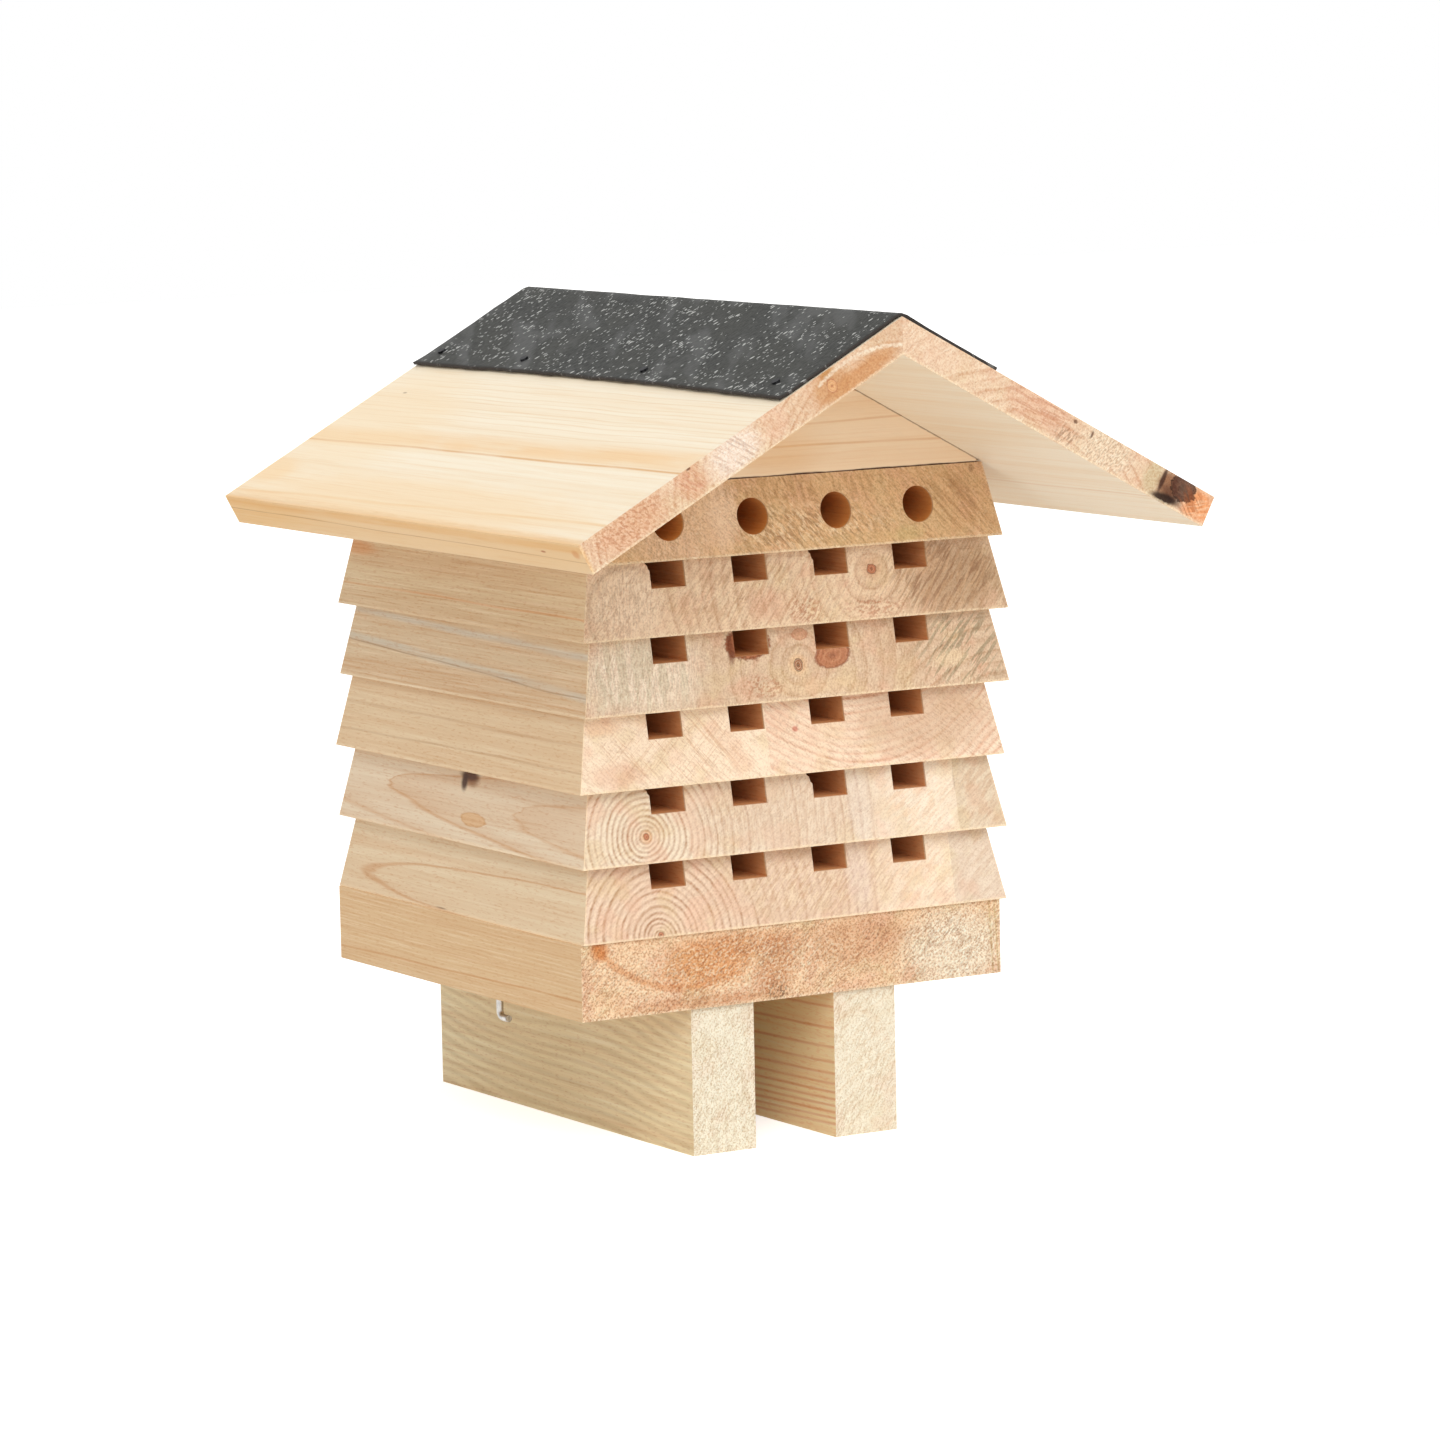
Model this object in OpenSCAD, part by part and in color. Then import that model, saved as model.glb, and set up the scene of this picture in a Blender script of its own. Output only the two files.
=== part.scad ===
// Louvred bee hotel: a base on two legs, five grooved nest trays, a drilled top
// block and a felted pitched roof, all held in line by two pull pins.
// +Z is up and the nest holes open towards -Y.

/* [Base] */
// Width of the base block, across the front
base_w = 135.6; // [125:0.2:160]
// Depth of the base block, front to back
base_d = 140.6; // [125:0.2:160]
// Thickness of the base block
base_h = 21; // [18:0.5:30]

/* [Legs] */
// Height of a leg, which is a board on edge
leg_h = 41; // [30:1:60]
// Thickness of a leg
leg_t = 20; // [14:0.5:24]
// Length of a leg, front to back
leg_l = 144; // [130:1:160]
// Clear slot between the two legs
leg_gap = 26; // [20:1:36]
// How far the legs stand back from the front of the base
leg_inset = 1.2; // [0:0.2:6]

/* [Layers] */
// Thickness of a nest tray
tray_h = 20.5; // [18:0.5:26]
// Thickness of the drilled block above the trays
block_h = 20.5; // [18:0.5:28]
// How far the lowest edge of a layer stands out past the base, all round
layer_over = 0.7; // [0:0.1:3]
// Slope of the sides of a layer, in degrees from upright
layer_slope = 11.1; // [4:0.1:14]

/* [Layers stacked by hand, so each stands a little to one side] */
// How far the drilled block stands to the right of the base
block_shift = 1.8; // [-4:0.1:4]
// How far tray 1, the top one, stands to the right of the base
tray_1_shift = 3.3; // [-4:0.1:4]
// How far tray 2 stands to the right of the base
tray_2_shift = 3.3; // [-4:0.1:4]
// How far tray 3 stands to the right of the base
tray_3_shift = 1.3; // [-4:0.1:4]
// How far tray 4 stands to the right of the base
tray_4_shift = 1.7; // [-4:0.1:4]
// How far tray 5 stands to the right of the base
tray_5_shift = 1.2; // [-4:0.1:4]

/* [Nest grooves] */
// Number of grooves in a tray, and of holes in the drilled block
nest_n = 4; // [2:1:4]
// Width of a groove
groove_w = 11; // [8:0.5:12]
// Depth of a groove below the top of its tray
groove_h = 7.5; // [6:0.5:12]
// Distance between the middles of two grooves
groove_pitch = 26; // [22:0.5:27]
// How far the row of grooves stands to the right of the middle of its tray
groove_shift = -0.9; // [-2:0.1:2]
// Wood left behind the round end of a groove
groove_stop = 16; // [10:1:30]

/* [Nest holes] */
// Diameter of a drilled nest hole
hole_d = 10; // [6:0.5:11]
// Distance between the middles of two holes
hole_pitch = 26.8; // [23:0.2:27]
// How far the row of holes stands to the right of the middle of its block
hole_shift = 1.6; // [-2:0.1:2]
// Wood left behind the end of a hole
hole_stop = 16; // [10:1:30]

/* [Gables] */
// Thickness of a gable board
gable_t = 9; // [7:0.5:14]

/* [Roof] */
// Slope of the roof, in degrees
roof_pitch = 28.4; // [22:0.2:35]
// Thickness of a roof board
roof_t = 8.9; // [8:0.1:14]
// Length of a roof board down the slope, along its top face
roof_slope_l = 113.8; // [95:0.2:130]
// How far the roof runs out in front of the layers
roof_front = 59.9; // [30:0.1:80]
// How far the roof runs out behind the layers
roof_back = 0.5; // [0:0.1:30]

/* [Felt] */
// Thickness of the felt strip
felt_t = 0.8; // [0.6:0.1:2]
// Width of felt on the left slope
felt_left = 43; // [30:0.5:70]
// Width of felt on the right slope
felt_right = 33.4; // [30:0.2:70]
// How far each end of the felt stops short of the roof
felt_short = 0.4; // [0:0.1:3]

/* [Pull pins] */
// Diameter of the bent wire of a pull pin
pin_d = 2; // [1.6:0.1:3]
// How far a pin reaches up into the drilled block
pin_reach = 12; // [8:0.5:15]
// How far the foot of a pin hangs below the base
pin_drop = 9.2; // [6:0.2:20]
// Length of the bent foot of a pin, from its upright
pin_foot = 5; // [4:0.5:12]
// Inside radius of the bend of a pin
pin_bend = 0.8; // [0.5:0.1:1.5]
// How far the foot of a pin is turned inwards from the front, in degrees
pin_turn = 60; // [0:5:90]

/* [Fasteners] */
// Diameter of the shank of a wood screw
screw_d = 3; // [2.5:0.1:3.5]
// Diameter of the countersunk head of a wood screw
screw_head_d = 6; // [5:0.1:7]
// Length of a leg screw
leg_screw_l = 45; // [36:1:50]
// Distance of a leg screw from the front or back of the base
leg_screw_in = 24; // [10:1:40]
// Length of a gable screw
gable_screw_l = 30; // [27:1:36]
// Diameter of the shank of a roof nail
nail_d = 1.5; // [1.2:0.1:1.8]
// Length of a roof nail
nail_l = 25; // [18:1:28]
// Diameter of the shank of a felt nail
tack_d = 1.2; // [0.8:0.1:1.5]
// Diameter of the head of a felt nail
tack_head_d = 2.4; // [2:0.1:4]
// Length of a felt nail, under its head
tack_l = 8; // [6:0.5:9]

/* [Hidden] */
$fn = 48;
TRAYS = 5;
FOLD_STEPS = 8;

// clearances between pieces
slide_gap = 0.05;   // a pin in the base, which grips it
free_gap = 0.3;     // a pin in a layer, which lifts off it
drive_gap = 0.1;    // a screw or nail in its hole
tip_air = 1;        // air above the tip of a pin
roof_air = 0.2;     // between the top edges of the drilled block and the roof boards
sink = 0.3;         // depth of a fastener's head below the wood
cut = 1;            // how far a cutting shape runs past a face

// layers
tray_shift = [tray_1_shift, tray_2_shift, tray_3_shift, tray_4_shift, tray_5_shift];
layer_w = base_w + 2 * layer_over;
layer_d = base_d + 2 * layer_over;
tray_in = tray_h * tan(layer_slope);
block_in = block_h * tan(layer_slope);
base_top = leg_h + base_h;
block_z = base_top + TRAYS * tray_h;
block_top = block_z + block_h;
top_half_w = layer_w / 2 - block_in;
top_half_d = layer_d / 2 - block_in;

// roof, which clears the drilled block wherever that stands
gable_lip = roof_air + abs(block_shift) * tan(roof_pitch);
gable_rise = gable_lip + top_half_w * tan(roof_pitch);
ridge_under_z = block_top + gable_rise;
ridge_z = ridge_under_z + roof_t / cos(roof_pitch);
gable_y = top_half_d - gable_t / 2;
roof_y0 = -layer_d / 2 - roof_front;
roof_y1 = layer_d / 2 + roof_back;

// legs and pins
leg_x = leg_gap / 2 + leg_t / 2;
leg_y0 = -base_d / 2 + leg_inset;
leg_y1 = leg_y0 + leg_l;
groove_edge = (nest_n - 1) / 2 * groove_pitch + groove_w / 2;
pin_x = (groove_edge + layer_w / 2 - tray_in) / 2;
pin_tip_z = block_z + pin_reach;
pin_foot_z = leg_h - pin_drop;

// the middle of the whole outline is at y = 0, so the stack stands at stack_y
stack_y = -(min(roof_y0, leg_y0) + max(roof_y1, leg_y1)) / 2;

// screws and nails
leg_screw_y = base_d / 2 - leg_screw_in;
gable_screw_x = [for (side = [-1, 1]) block_shift + hole_shift + side * hole_pitch];
nail_head_d = 3;
nail_head_t = 0.8;
nail_down = [for (s = [0.55, 0.9]) s * min(felt_left, felt_right)];
nail_stagger = 1.6; // so that the points of the two slopes pass each other
tack_head_t = 0.7;
tack_in = 7;
tack_share = [0.06, 0.4, 0.73, 0.97];

// colours
PINE = "burlywood";
PALE_PINE = "wheat";
ROUGH_PINE = "sandybrown";
STEEL = "silver";
FELT = "dimgray";

// a piece drawn about the middle of the stack, raised to z and moved right by x
module at_stack(z = 0, x = 0) translate([x, stack_y, z]) children();

// a piece drawn on the top face of a roof board: x runs down the slope from the
// ridge, z stands off the face. side is -1 on the left and 1 on the right
module on_roof(side) {
  at_stack(ridge_z)
    mirror([side < 0 ? 1 : 0, 0, 0])
      rotate([0, roof_pitch, 0])
        children();
}

// outline in the XZ plane, pushed along Y from y0 to y1
module along_y(y0, y1) {
  translate([0, y1, 0])
    rotate([90, 0, 0])
      linear_extrude(y1 - y0)
        children();
}

module slope_side(half, h, in) {
  polygon([[-half, 0], [half, 0], [half - in, h], [in - half, h]]);
}

// a board whose four edges lean in by the same amount
module bevelled_board(w, d, h, in) {
  intersection() {
    along_y(-d, d) slope_side(w / 2, h, in);
    rotate([90, 0, 90])
      linear_extrude(2 * w, center = true)
        slope_side(d / 2, h, in);
  }
}

// x places of the nests, left to right
function nest_x(pitch) = [for (i = [0:nest_n - 1]) (i - (nest_n - 1) / 2) * pitch];

// wood screw, point down, the flat of its head at z = 0
module screw(l, grow = 0) {
  r = screw_d / 2 + grow;
  head_r = screw_head_d / 2 + grow;
  rotate_extrude()
    polygon([[0, 0], [head_r, 0], [r, r - head_r], [r, screw_d - l], [0, -l - grow]]);
}

// its hole, with the head sunk below the face at z = 0
module screw_hole(l) {
  translate([0, 0, -sink]) {
    screw(l, drive_gap);
    cylinder(h = sink + cut, r = screw_head_d / 2 + drive_gap);
  }
}

// flat headed nail, point down, the underside of its head at z = 0
module nail(d, l, head_d, head_t, grow = 0) {
  r = d / 2 + grow;
  translate([0, 0, -grow]) cylinder(h = head_t + grow, r = head_d / 2 + grow);
  rotate_extrude()
    polygon([[0, 0], [r, 0], [r, d - l], [0, -l - grow]]);
}

// the places of each kind of fastener, as seen by the piece that holds it
module at_leg_screws() {
  for (x = [-leg_x, leg_x], y = [-leg_screw_y, leg_screw_y])
    at_stack(base_top) translate([x, y, 0]) children();
}

// these point up, from the underside of the drilled block
module at_gable_screws() {
  for (x = gable_screw_x, y = [-gable_y, gable_y])
    at_stack(block_z) translate([x, y, 0]) rotate([180, 0, 0]) children();
}

module at_roof_nails(side) {
  for (x = nail_down, y = [-gable_y, gable_y])
    on_roof(side) translate([x, y + side * nail_stagger, -nail_head_t - sink]) children();
}

module at_tacks(side) {
  w = side < 0 ? felt_left : felt_right;
  for (s = tack_share)
    on_roof(side) translate([w - tack_in, roof_y0 + s * (roof_y1 - roof_y0), felt_t]) children();
}

module roof_nail(grow = 0) nail(nail_d, nail_l, nail_head_d, nail_head_t, grow);

module roof_nail_hole() {
  roof_nail(drive_gap);
  cylinder(h = nail_head_t + sink + cut, r = nail_head_d / 2 + drive_gap);
}

module tack(grow = 0) nail(tack_d, tack_l, tack_head_d, tack_head_t, grow);

module tack_hole() {
  rotate_extrude()
    polygon([[0, cut], [tack_d / 2 + drive_gap, cut],
             [tack_d / 2 + drive_gap, tack_d - tack_l], [0, -tack_l - drive_gap]]);
}

// upright bores for both pins, from z0 to z1
module pin_bores(z0, z1, gap) {
  for (x = [-pin_x, pin_x])
    at_stack(z0) translate([x, 0, 0]) cylinder(h = z1 - z0, r = pin_d / 2 + gap);
}

module base_block() {
  color(ROUGH_PINE)
    difference() {
      at_stack(leg_h)
        translate([-base_w / 2, -base_d / 2, 0])
          cube([base_w, base_d, base_h]);
      pin_bores(leg_h - cut, base_top + cut, slide_gap);
      at_leg_screws() screw_hole(leg_screw_l);
    }
}

module leg(side) {
  color(PALE_PINE)
    difference() {
      at_stack()
        translate([side * leg_x - leg_t / 2, leg_y0, 0])
          cube([leg_t, leg_l, leg_h]);
      at_leg_screws() screw_hole(leg_screw_l);
    }
}

module leg_screws() {
  color(STEEL) at_leg_screws() translate([0, 0, -sink]) screw(leg_screw_l);
}

// wire pin: a straight upright, a bend and a foot that points inwards to the legs
module pin(side) {
  bend_r = pin_bend + pin_d / 2;
  color(STEEL)
    at_stack()
      translate([side * pin_x, 0, pin_foot_z])
        rotate([0, 0, -side * pin_turn]) {
          translate([0, 0, bend_r])
            cylinder(h = pin_tip_z - pin_foot_z - bend_r, r = pin_d / 2);
          translate([0, -bend_r, bend_r])
            rotate([0, 90, 0])
              rotate_extrude(angle = 90)
                translate([bend_r, 0]) circle(r = pin_d / 2);
          translate([0, -bend_r, 0])
            rotate([90, 0, 0])
              cylinder(h = pin_foot - bend_r, r = pin_d / 2);
        }
}

// router-cut groove, open at the front and the top, round at its blind end
module groove(z_top) {
  y_end = layer_d / 2 - tray_in - groove_stop - groove_w / 2;
  translate([0, 0, z_top - groove_h]) {
    translate([-groove_w / 2, -layer_d / 2 - cut, 0])
      cube([groove_w, y_end + layer_d / 2 + cut, groove_h + cut]);
    translate([0, y_end, 0])
      cylinder(h = groove_h + cut, r = groove_w / 2);
  }
}

// trays count from the top, so tray_1 is under the drilled block
module nest_tray(i) {
  z = base_top + (TRAYS - i) * tray_h;
  shift = tray_shift[i - 1];
  color(PINE)
    difference() {
      at_stack(z, shift) bevelled_board(layer_w, layer_d, tray_h, tray_in);
      for (x = nest_x(groove_pitch)) at_stack(z, shift + groove_shift + x) groove(tray_h);
      pin_bores(z - cut, z + tray_h + cut, free_gap);
    }
}

module drilled_block() {
  y_end = layer_d / 2 - block_in - hole_stop;
  color(ROUGH_PINE)
    difference() {
      at_stack(block_z, block_shift) bevelled_board(layer_w, layer_d, block_h, block_in);
      for (x = nest_x(hole_pitch))
        at_stack(block_z + block_h / 2, block_shift + hole_shift + x)
          translate([0, y_end, 0])
            rotate([90, 0, 0])
              cylinder(h = y_end + layer_d / 2 + cut, r = hole_d / 2);
      pin_bores(block_z - cut, pin_tip_z + tip_air, free_gap);
      at_gable_screws() screw_hole(gable_screw_l);
    }
}

module gable(side) {
  color(PALE_PINE)
    difference() {
      at_stack(block_top)
        along_y(side * gable_y - gable_t / 2, side * gable_y + gable_t / 2)
          polygon([[-top_half_w, 0], [top_half_w, 0], [top_half_w, gable_lip],
                   [0, gable_rise], [-top_half_w, gable_lip]]);
      at_gable_screws() screw_hole(gable_screw_l);
      at_roof_nails(-1) roof_nail_hole();
      at_roof_nails(1) roof_nail_hole();
    }
}

module gable_screws() {
  color(STEEL) at_gable_screws() translate([0, 0, -sink]) screw(gable_screw_l);
}

// a board with a square-cut eave and an upright mitre at the ridge
module roof_board(side) {
  mitre = roof_t * tan(roof_pitch);
  color(PALE_PINE)
    difference() {
      on_roof(side)
        along_y(roof_y0, roof_y1)
          polygon([[0, 0], [roof_slope_l, 0], [roof_slope_l, -roof_t], [mitre, -roof_t]]);
      at_roof_nails(side) roof_nail_hole();
      at_tacks(side) tack_hole();
    }
}

module roof_nails() {
  color(STEEL) {
    at_roof_nails(-1) roof_nail();
    at_roof_nails(1) roof_nail();
  }
}

// one strip folded over the ridge, rounded on the outside where it folds
module felt() {
  down = [cos(roof_pitch), -sin(roof_pitch)];
  off = felt_t * [sin(roof_pitch), cos(roof_pitch)];
  right_end = felt_right * down;
  left_end = felt_left * [-down.x, down.y];
  left_off = [-off.x, off.y];
  fold = [for (i = [0:FOLD_STEPS])
            let (a = 90 - roof_pitch + 2 * roof_pitch * i / FOLD_STEPS)
              felt_t * [cos(a), sin(a)]];
  color(FELT)
    difference() {
      at_stack(ridge_z)
        along_y(roof_y0 + felt_short, roof_y1 - felt_short)
          polygon(concat([[0, 0], right_end, right_end + off], fold,
                         [left_end + left_off, left_end]));
      at_tacks(-1) tack_hole();
      at_tacks(1) tack_hole();
    }
}

module felt_nails(side) {
  color(STEEL) at_tacks(side) tack();
}

base_block();
leg(-1);  // leg_left
leg(1);  // leg_right
leg_screws();
pin(-1);  // pin_left
pin(1);  // pin_right
for (i = [1:TRAYS])
  nest_tray(i);
drilled_block();
gable(-1);  // gable_front
gable(1);  // gable_back
gable_screws();
roof_board(-1);  // roof_left
roof_board(1);  // roof_right
roof_nails();
felt();
felt_nails(-1);  // felt_nails_left
felt_nails(1);  // felt_nails_right
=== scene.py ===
"""Looks of a louvred bee hotel: pine boards, roofing felt, nails, wire pins, light and camera."""
import math
from dataclasses import dataclass

import bmesh
import bpy
from mathutils import Matrix, Vector, noise


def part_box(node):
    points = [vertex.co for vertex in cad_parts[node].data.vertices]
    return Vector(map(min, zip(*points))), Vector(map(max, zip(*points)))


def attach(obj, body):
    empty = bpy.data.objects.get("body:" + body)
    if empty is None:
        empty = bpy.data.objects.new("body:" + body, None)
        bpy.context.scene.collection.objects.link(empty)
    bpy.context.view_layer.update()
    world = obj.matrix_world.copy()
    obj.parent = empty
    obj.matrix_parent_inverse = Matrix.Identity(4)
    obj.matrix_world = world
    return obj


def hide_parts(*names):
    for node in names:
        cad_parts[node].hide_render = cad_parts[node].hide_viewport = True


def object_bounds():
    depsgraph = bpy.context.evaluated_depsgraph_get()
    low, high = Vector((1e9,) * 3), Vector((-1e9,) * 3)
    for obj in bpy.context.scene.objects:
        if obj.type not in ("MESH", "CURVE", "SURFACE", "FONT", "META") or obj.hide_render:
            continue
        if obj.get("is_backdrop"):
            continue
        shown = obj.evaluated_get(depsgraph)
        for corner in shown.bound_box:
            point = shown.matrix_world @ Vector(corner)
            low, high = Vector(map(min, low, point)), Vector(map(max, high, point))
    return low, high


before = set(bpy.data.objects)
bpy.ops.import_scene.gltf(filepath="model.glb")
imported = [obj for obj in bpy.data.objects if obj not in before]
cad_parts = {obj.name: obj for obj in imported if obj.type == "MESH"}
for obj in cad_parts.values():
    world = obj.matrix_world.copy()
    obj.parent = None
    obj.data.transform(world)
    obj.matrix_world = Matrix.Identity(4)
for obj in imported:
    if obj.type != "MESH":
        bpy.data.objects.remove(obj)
cad_low, cad_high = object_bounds()

MM = 0.001
X = Vector((1, 0, 0))
Y = Vector((0, 1, 0))
Z = Vector((0, 0, 1))

# The photograph's camera, in metres and degrees, and its focal length for a 36 mm sensor
CAMERA_PLACE = Vector((-0.895, -1.5013, 0.3286))
CAMERA_YAW = 30.88
CAMERA_PITCH = -7.0
CAMERA_ROLL = -1.2
CAMERA_LENS = 157.1

# Slopes of the roof and of the layers' sides, in radians
ROOF_PITCH = math.radians(28.4)
LAYER_SLOPE = math.radians(11.1)

# In millimetres: how far the roof boards reach down the slope, how thick they are, how far from
# the layers' backs the nests stop or a little less, and how deep marks on the end grain go
ROOF_REACH = 113.8
ROOF_THICK = 8.9
HOLLOW_STOP = 10
STAIN_DEPTH = 50
KNOT_DEPTH = 14
STROKE_DEPTH = 12

# Places in the frame that the dressing is worked out from, in metres
block_low, block_high = (Vector(corner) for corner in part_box("drilled_block"))
roof_low, roof_high = (Vector(corner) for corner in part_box("roof_left"))
STACK_Y = (block_low.y + block_high.y) / 2
RIDGE_Z = roof_high.z

# Long faces that lines are kept to: a direction in the board, and a little less than how far out they lie
LAYER_LEFT = ((-1, 0, 0), 60)
BASE_LEFT = ((-1, 0, 0), 66)
LEG_LEFT = ((0, -1, 0), 9)
ROOF_TOP = ((0, 1, 0), -1)
ROOF_UNDER = ((0, -1, 0), 8)
EAVE_EDGE = ((1, 0, 0), 113)

# Colours that come back on several boards, as a screen's red, green and blue
PINK = (226, 168, 140)
RUST = (186, 112, 76)
AMBER = (226, 158, 98)
BARK = (100, 60, 38)
UMBER = (146, 108, 76)
TAN = (196, 150, 112)
BUFF = (206, 168, 134)
MILK = (248, 226, 196)


def linear(colour):
    """Linear light from a screen's red, green and blue, 0 to 255. A socket stays as it is."""
    if isinstance(colour, bpy.types.NodeSocket):
        return colour
    parts = (value / 255 for value in colour)
    return (*(part / 12.92 if part <= 0.04045 else ((part + 0.055) / 1.055) ** 2.4 for part in parts), 1.0)


def tint(colour, base):
    """What base is multiplied by to look like colour."""
    return tuple(a / b for a, b in zip(linear(colour), linear(base)))


class Value:
    """A number or a vector that nodes work out, so that sums on it are written as sums."""

    def __init__(self, nodes, socket, kind="Math"):
        self.nodes = nodes
        self.socket = socket
        self.kind = kind

    def by(self, operation, *others):
        """What a node's operation on this value and others gives."""
        outputs = self.nodes.add(self.kind, dict(enumerate((self, *others))), operation=operation).outputs
        if operation in ("DOT_PRODUCT", "LENGTH"):
            return Value(self.nodes, outputs["Value"])
        return Value(self.nodes, outputs[0], self.kind)

    def __add__(self, other):
        return self.by("ADD", other)

    def __sub__(self, other):
        return self.by("SUBTRACT", other)

    def __mul__(self, other):
        return self.by("MULTIPLY", other)

    def __truediv__(self, other):
        return self.by("DIVIDE", other)

    def __gt__(self, other):
        return self.by("GREATER_THAN", other)

    def __lt__(self, other):
        return self.by("LESS_THAN", other)

    def __abs__(self):
        return self.by("ABSOLUTE")

    def __round__(self):
        return self.by("ROUND")

    def dot(self, other):
        return self.by("DOT_PRODUCT", other)

    def length(self):
        return self.by("LENGTH")

    def shaken(self, lumps, amount):
        """This number moved up and down by noise that lies around 0.5."""
        return (lumps - 0.5) * amount + self

    def step(self, low, high, to_low=0.0, to_high=1.0):
        """Smooth change from to_low at low to to_high at high."""
        if low > high:
            low, high, to_low, to_high = high, low, to_high, to_low
        inputs = {"Value": self, "From Min": low, "From Max": high, "To Min": to_low, "To Max": to_high}
        node = self.nodes.add("MapRange", inputs, interpolation_type="SMOOTHSTEP")
        return Value(self.nodes, node.outputs[0])

    def local(self, centre, turn, sizes):
        """This place measured from centre, turned about the grain in degrees, in units of sizes."""
        inputs = {"Vector": self, "Location": centre, "Rotation": (0, 0, math.radians(turn)), "Scale": sizes}
        node = self.nodes.add("Mapping", inputs, vector_type="TEXTURE")
        return Value(self.nodes, node.outputs[0], "VectorMath")

    def noise(self, sizes, turn=0.0, seed=0.0, detail=2.0, rough=0.5, output="Fac"):
        """Noise around 0.5 whose lumps measure sizes along each axis. Its "Color" is three in one."""
        shift = (seed * 31.7, seed * 17.3, seed * 23.9)
        place = self.local(shift, turn, sizes)
        inputs = {"Vector": place, "Scale": 1.0, "Detail": detail, "Roughness": rough}
        node = self.nodes.add("TexNoise", inputs)
        return Value(self.nodes, node.outputs[output], "Math" if output == "Fac" else "VectorMath")

    def parts(self, kind="XYZ"):
        """The three numbers in a vector, or in a "Color"."""
        return [Value(self.nodes, part) for part in self.nodes.add("Separate" + kind, {0: self}).outputs]


class Nodes:
    """Short calls that build the node tree of a material or a world."""

    def __init__(self, owner):
        owner.use_nodes = True
        self.owner = owner
        self.tree = owner.node_tree
        self.tree.nodes.clear()

    def add(self, kind, inputs=None, **settings):
        """A new node. inputs maps a socket's name or number to a value or another socket."""
        node = self.tree.nodes.new("ShaderNode" + kind)
        for key, value in settings.items():
            setattr(node, key, value)
        for key, value in (inputs or {}).items():
            source = value.socket if isinstance(value, Value) else value
            if isinstance(source, bpy.types.NodeSocket):
                self.tree.links.new(source, node.inputs[key])
            else:
                node.inputs[key].default_value = source
        return node

    def surface(self, name):
        """The "Object" place or the "Normal" direction of the surface."""
        return Value(self, self.add("TexCoord").outputs[name], "VectorMath")

    def combine(self, x, y, z):
        return Value(self, self.add("CombineXYZ", {0: x, 1: y, 2: z}).outputs[0], "VectorMath")

    def mix(self, factor, a, b):
        """Colour a turned towards colour b by factor."""
        return self.add("Mix", {0: factor, 6: linear(a), 7: linear(b)}, data_type="RGBA").outputs[2]

    def shade(self, factor, colour, shade):
        """A colour darkened or made paler by factor, towards itself times shade."""
        inputs = {0: factor, 6: colour, 7: shade}
        return self.add("Mix", inputs, data_type="RGBA", blend_type="MULTIPLY").outputs[2]

    def blend(self, factor, a, b):
        """Number a turned towards number b by factor."""
        return Value(self, self.add("Mix", {0: factor, 2: a, 3: b}, data_type="FLOAT").outputs[0])

    def seen(self):
        """1 for rays that show the picture, straight or by gloss or glass, and 0 for those that light it."""
        path = self.add("LightPath").outputs
        direct = Value(self, path["Is Camera Ray"])
        return direct.by("MAXIMUM", path["Is Glossy Ray"]).by("MAXIMUM", path["Is Transmission Ray"])

    def finish(self, colour, roughness, height, depth, metallic=0.0, sheen=0.5):
        """The whole material. height, from 0 to 1, makes bumps that are depth millimetres deep."""
        bump = self.add("Bump", {"Height": height, "Distance": depth * MM})
        shader = self.add("BsdfPrincipled", {
            "Base Color": colour, "Roughness": roughness, "Metallic": metallic, "Specular IOR Level": sheen,
            "Normal": bump.outputs[0]})
        self.add("OutputMaterial", {"Surface": shader.outputs[0]})
        return self.owner


@dataclass
class Board:
    """A board's directions across, through and along the grain, and the point it is measured from.

    front is where the end that faces the viewer lies along the grain, in millimetres.
    """

    across: Vector
    through: Vector
    along: Vector
    origin: tuple
    front: float


@dataclass
class Strip:
    """One stave of a glued board: where it ends across the board, its pith, its rings and its tint.

    pith is where the tree's heart lies at the middle of the board, and lean how far it moves
    across and through for each millimetre along. A power under 1 widens the rings away from it.
    """

    end: float = 999
    pith: tuple = (0, 0)
    ring: float = 2.6
    power: float = 1.0
    lean: tuple = (0.0, 0.0)
    tint: tuple = (1, 1, 1)


@dataclass
class Grade:
    """A kind of pine: its colours on the long grain and on the end grain."""

    long: tuple
    end: tuple
    vein: tuple = (206, 152, 100)
    ring: tuple = (190, 140, 106)
    fibre: tuple = (168, 118, 78)
    tuft: tuple = (255, 234, 204)


class Mark:
    """Something that colours a board's wood where its mask isn't 0.

    A place of two numbers is across and through, on the end that faces the viewer, and shows on
    the ends alone. One of three is inside the board, and shows on any face that comes near it.
    """

    def paint(self, wood, colour):
        return wood.mix(self.mask(wood), colour, self.colour)


@dataclass
class Patch(Mark):
    """A soft ragged stain: an ellipsoid in the board, with a colour and how strongly it shows."""

    place: tuple
    radii: tuple
    colour: tuple
    strength: float = 0.5
    ragged: float = 0.5
    turn: float = 0.0

    def mask(self, wood):
        return wood.area(self.place, self.radii, self.ragged, self.turn) * self.strength


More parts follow.
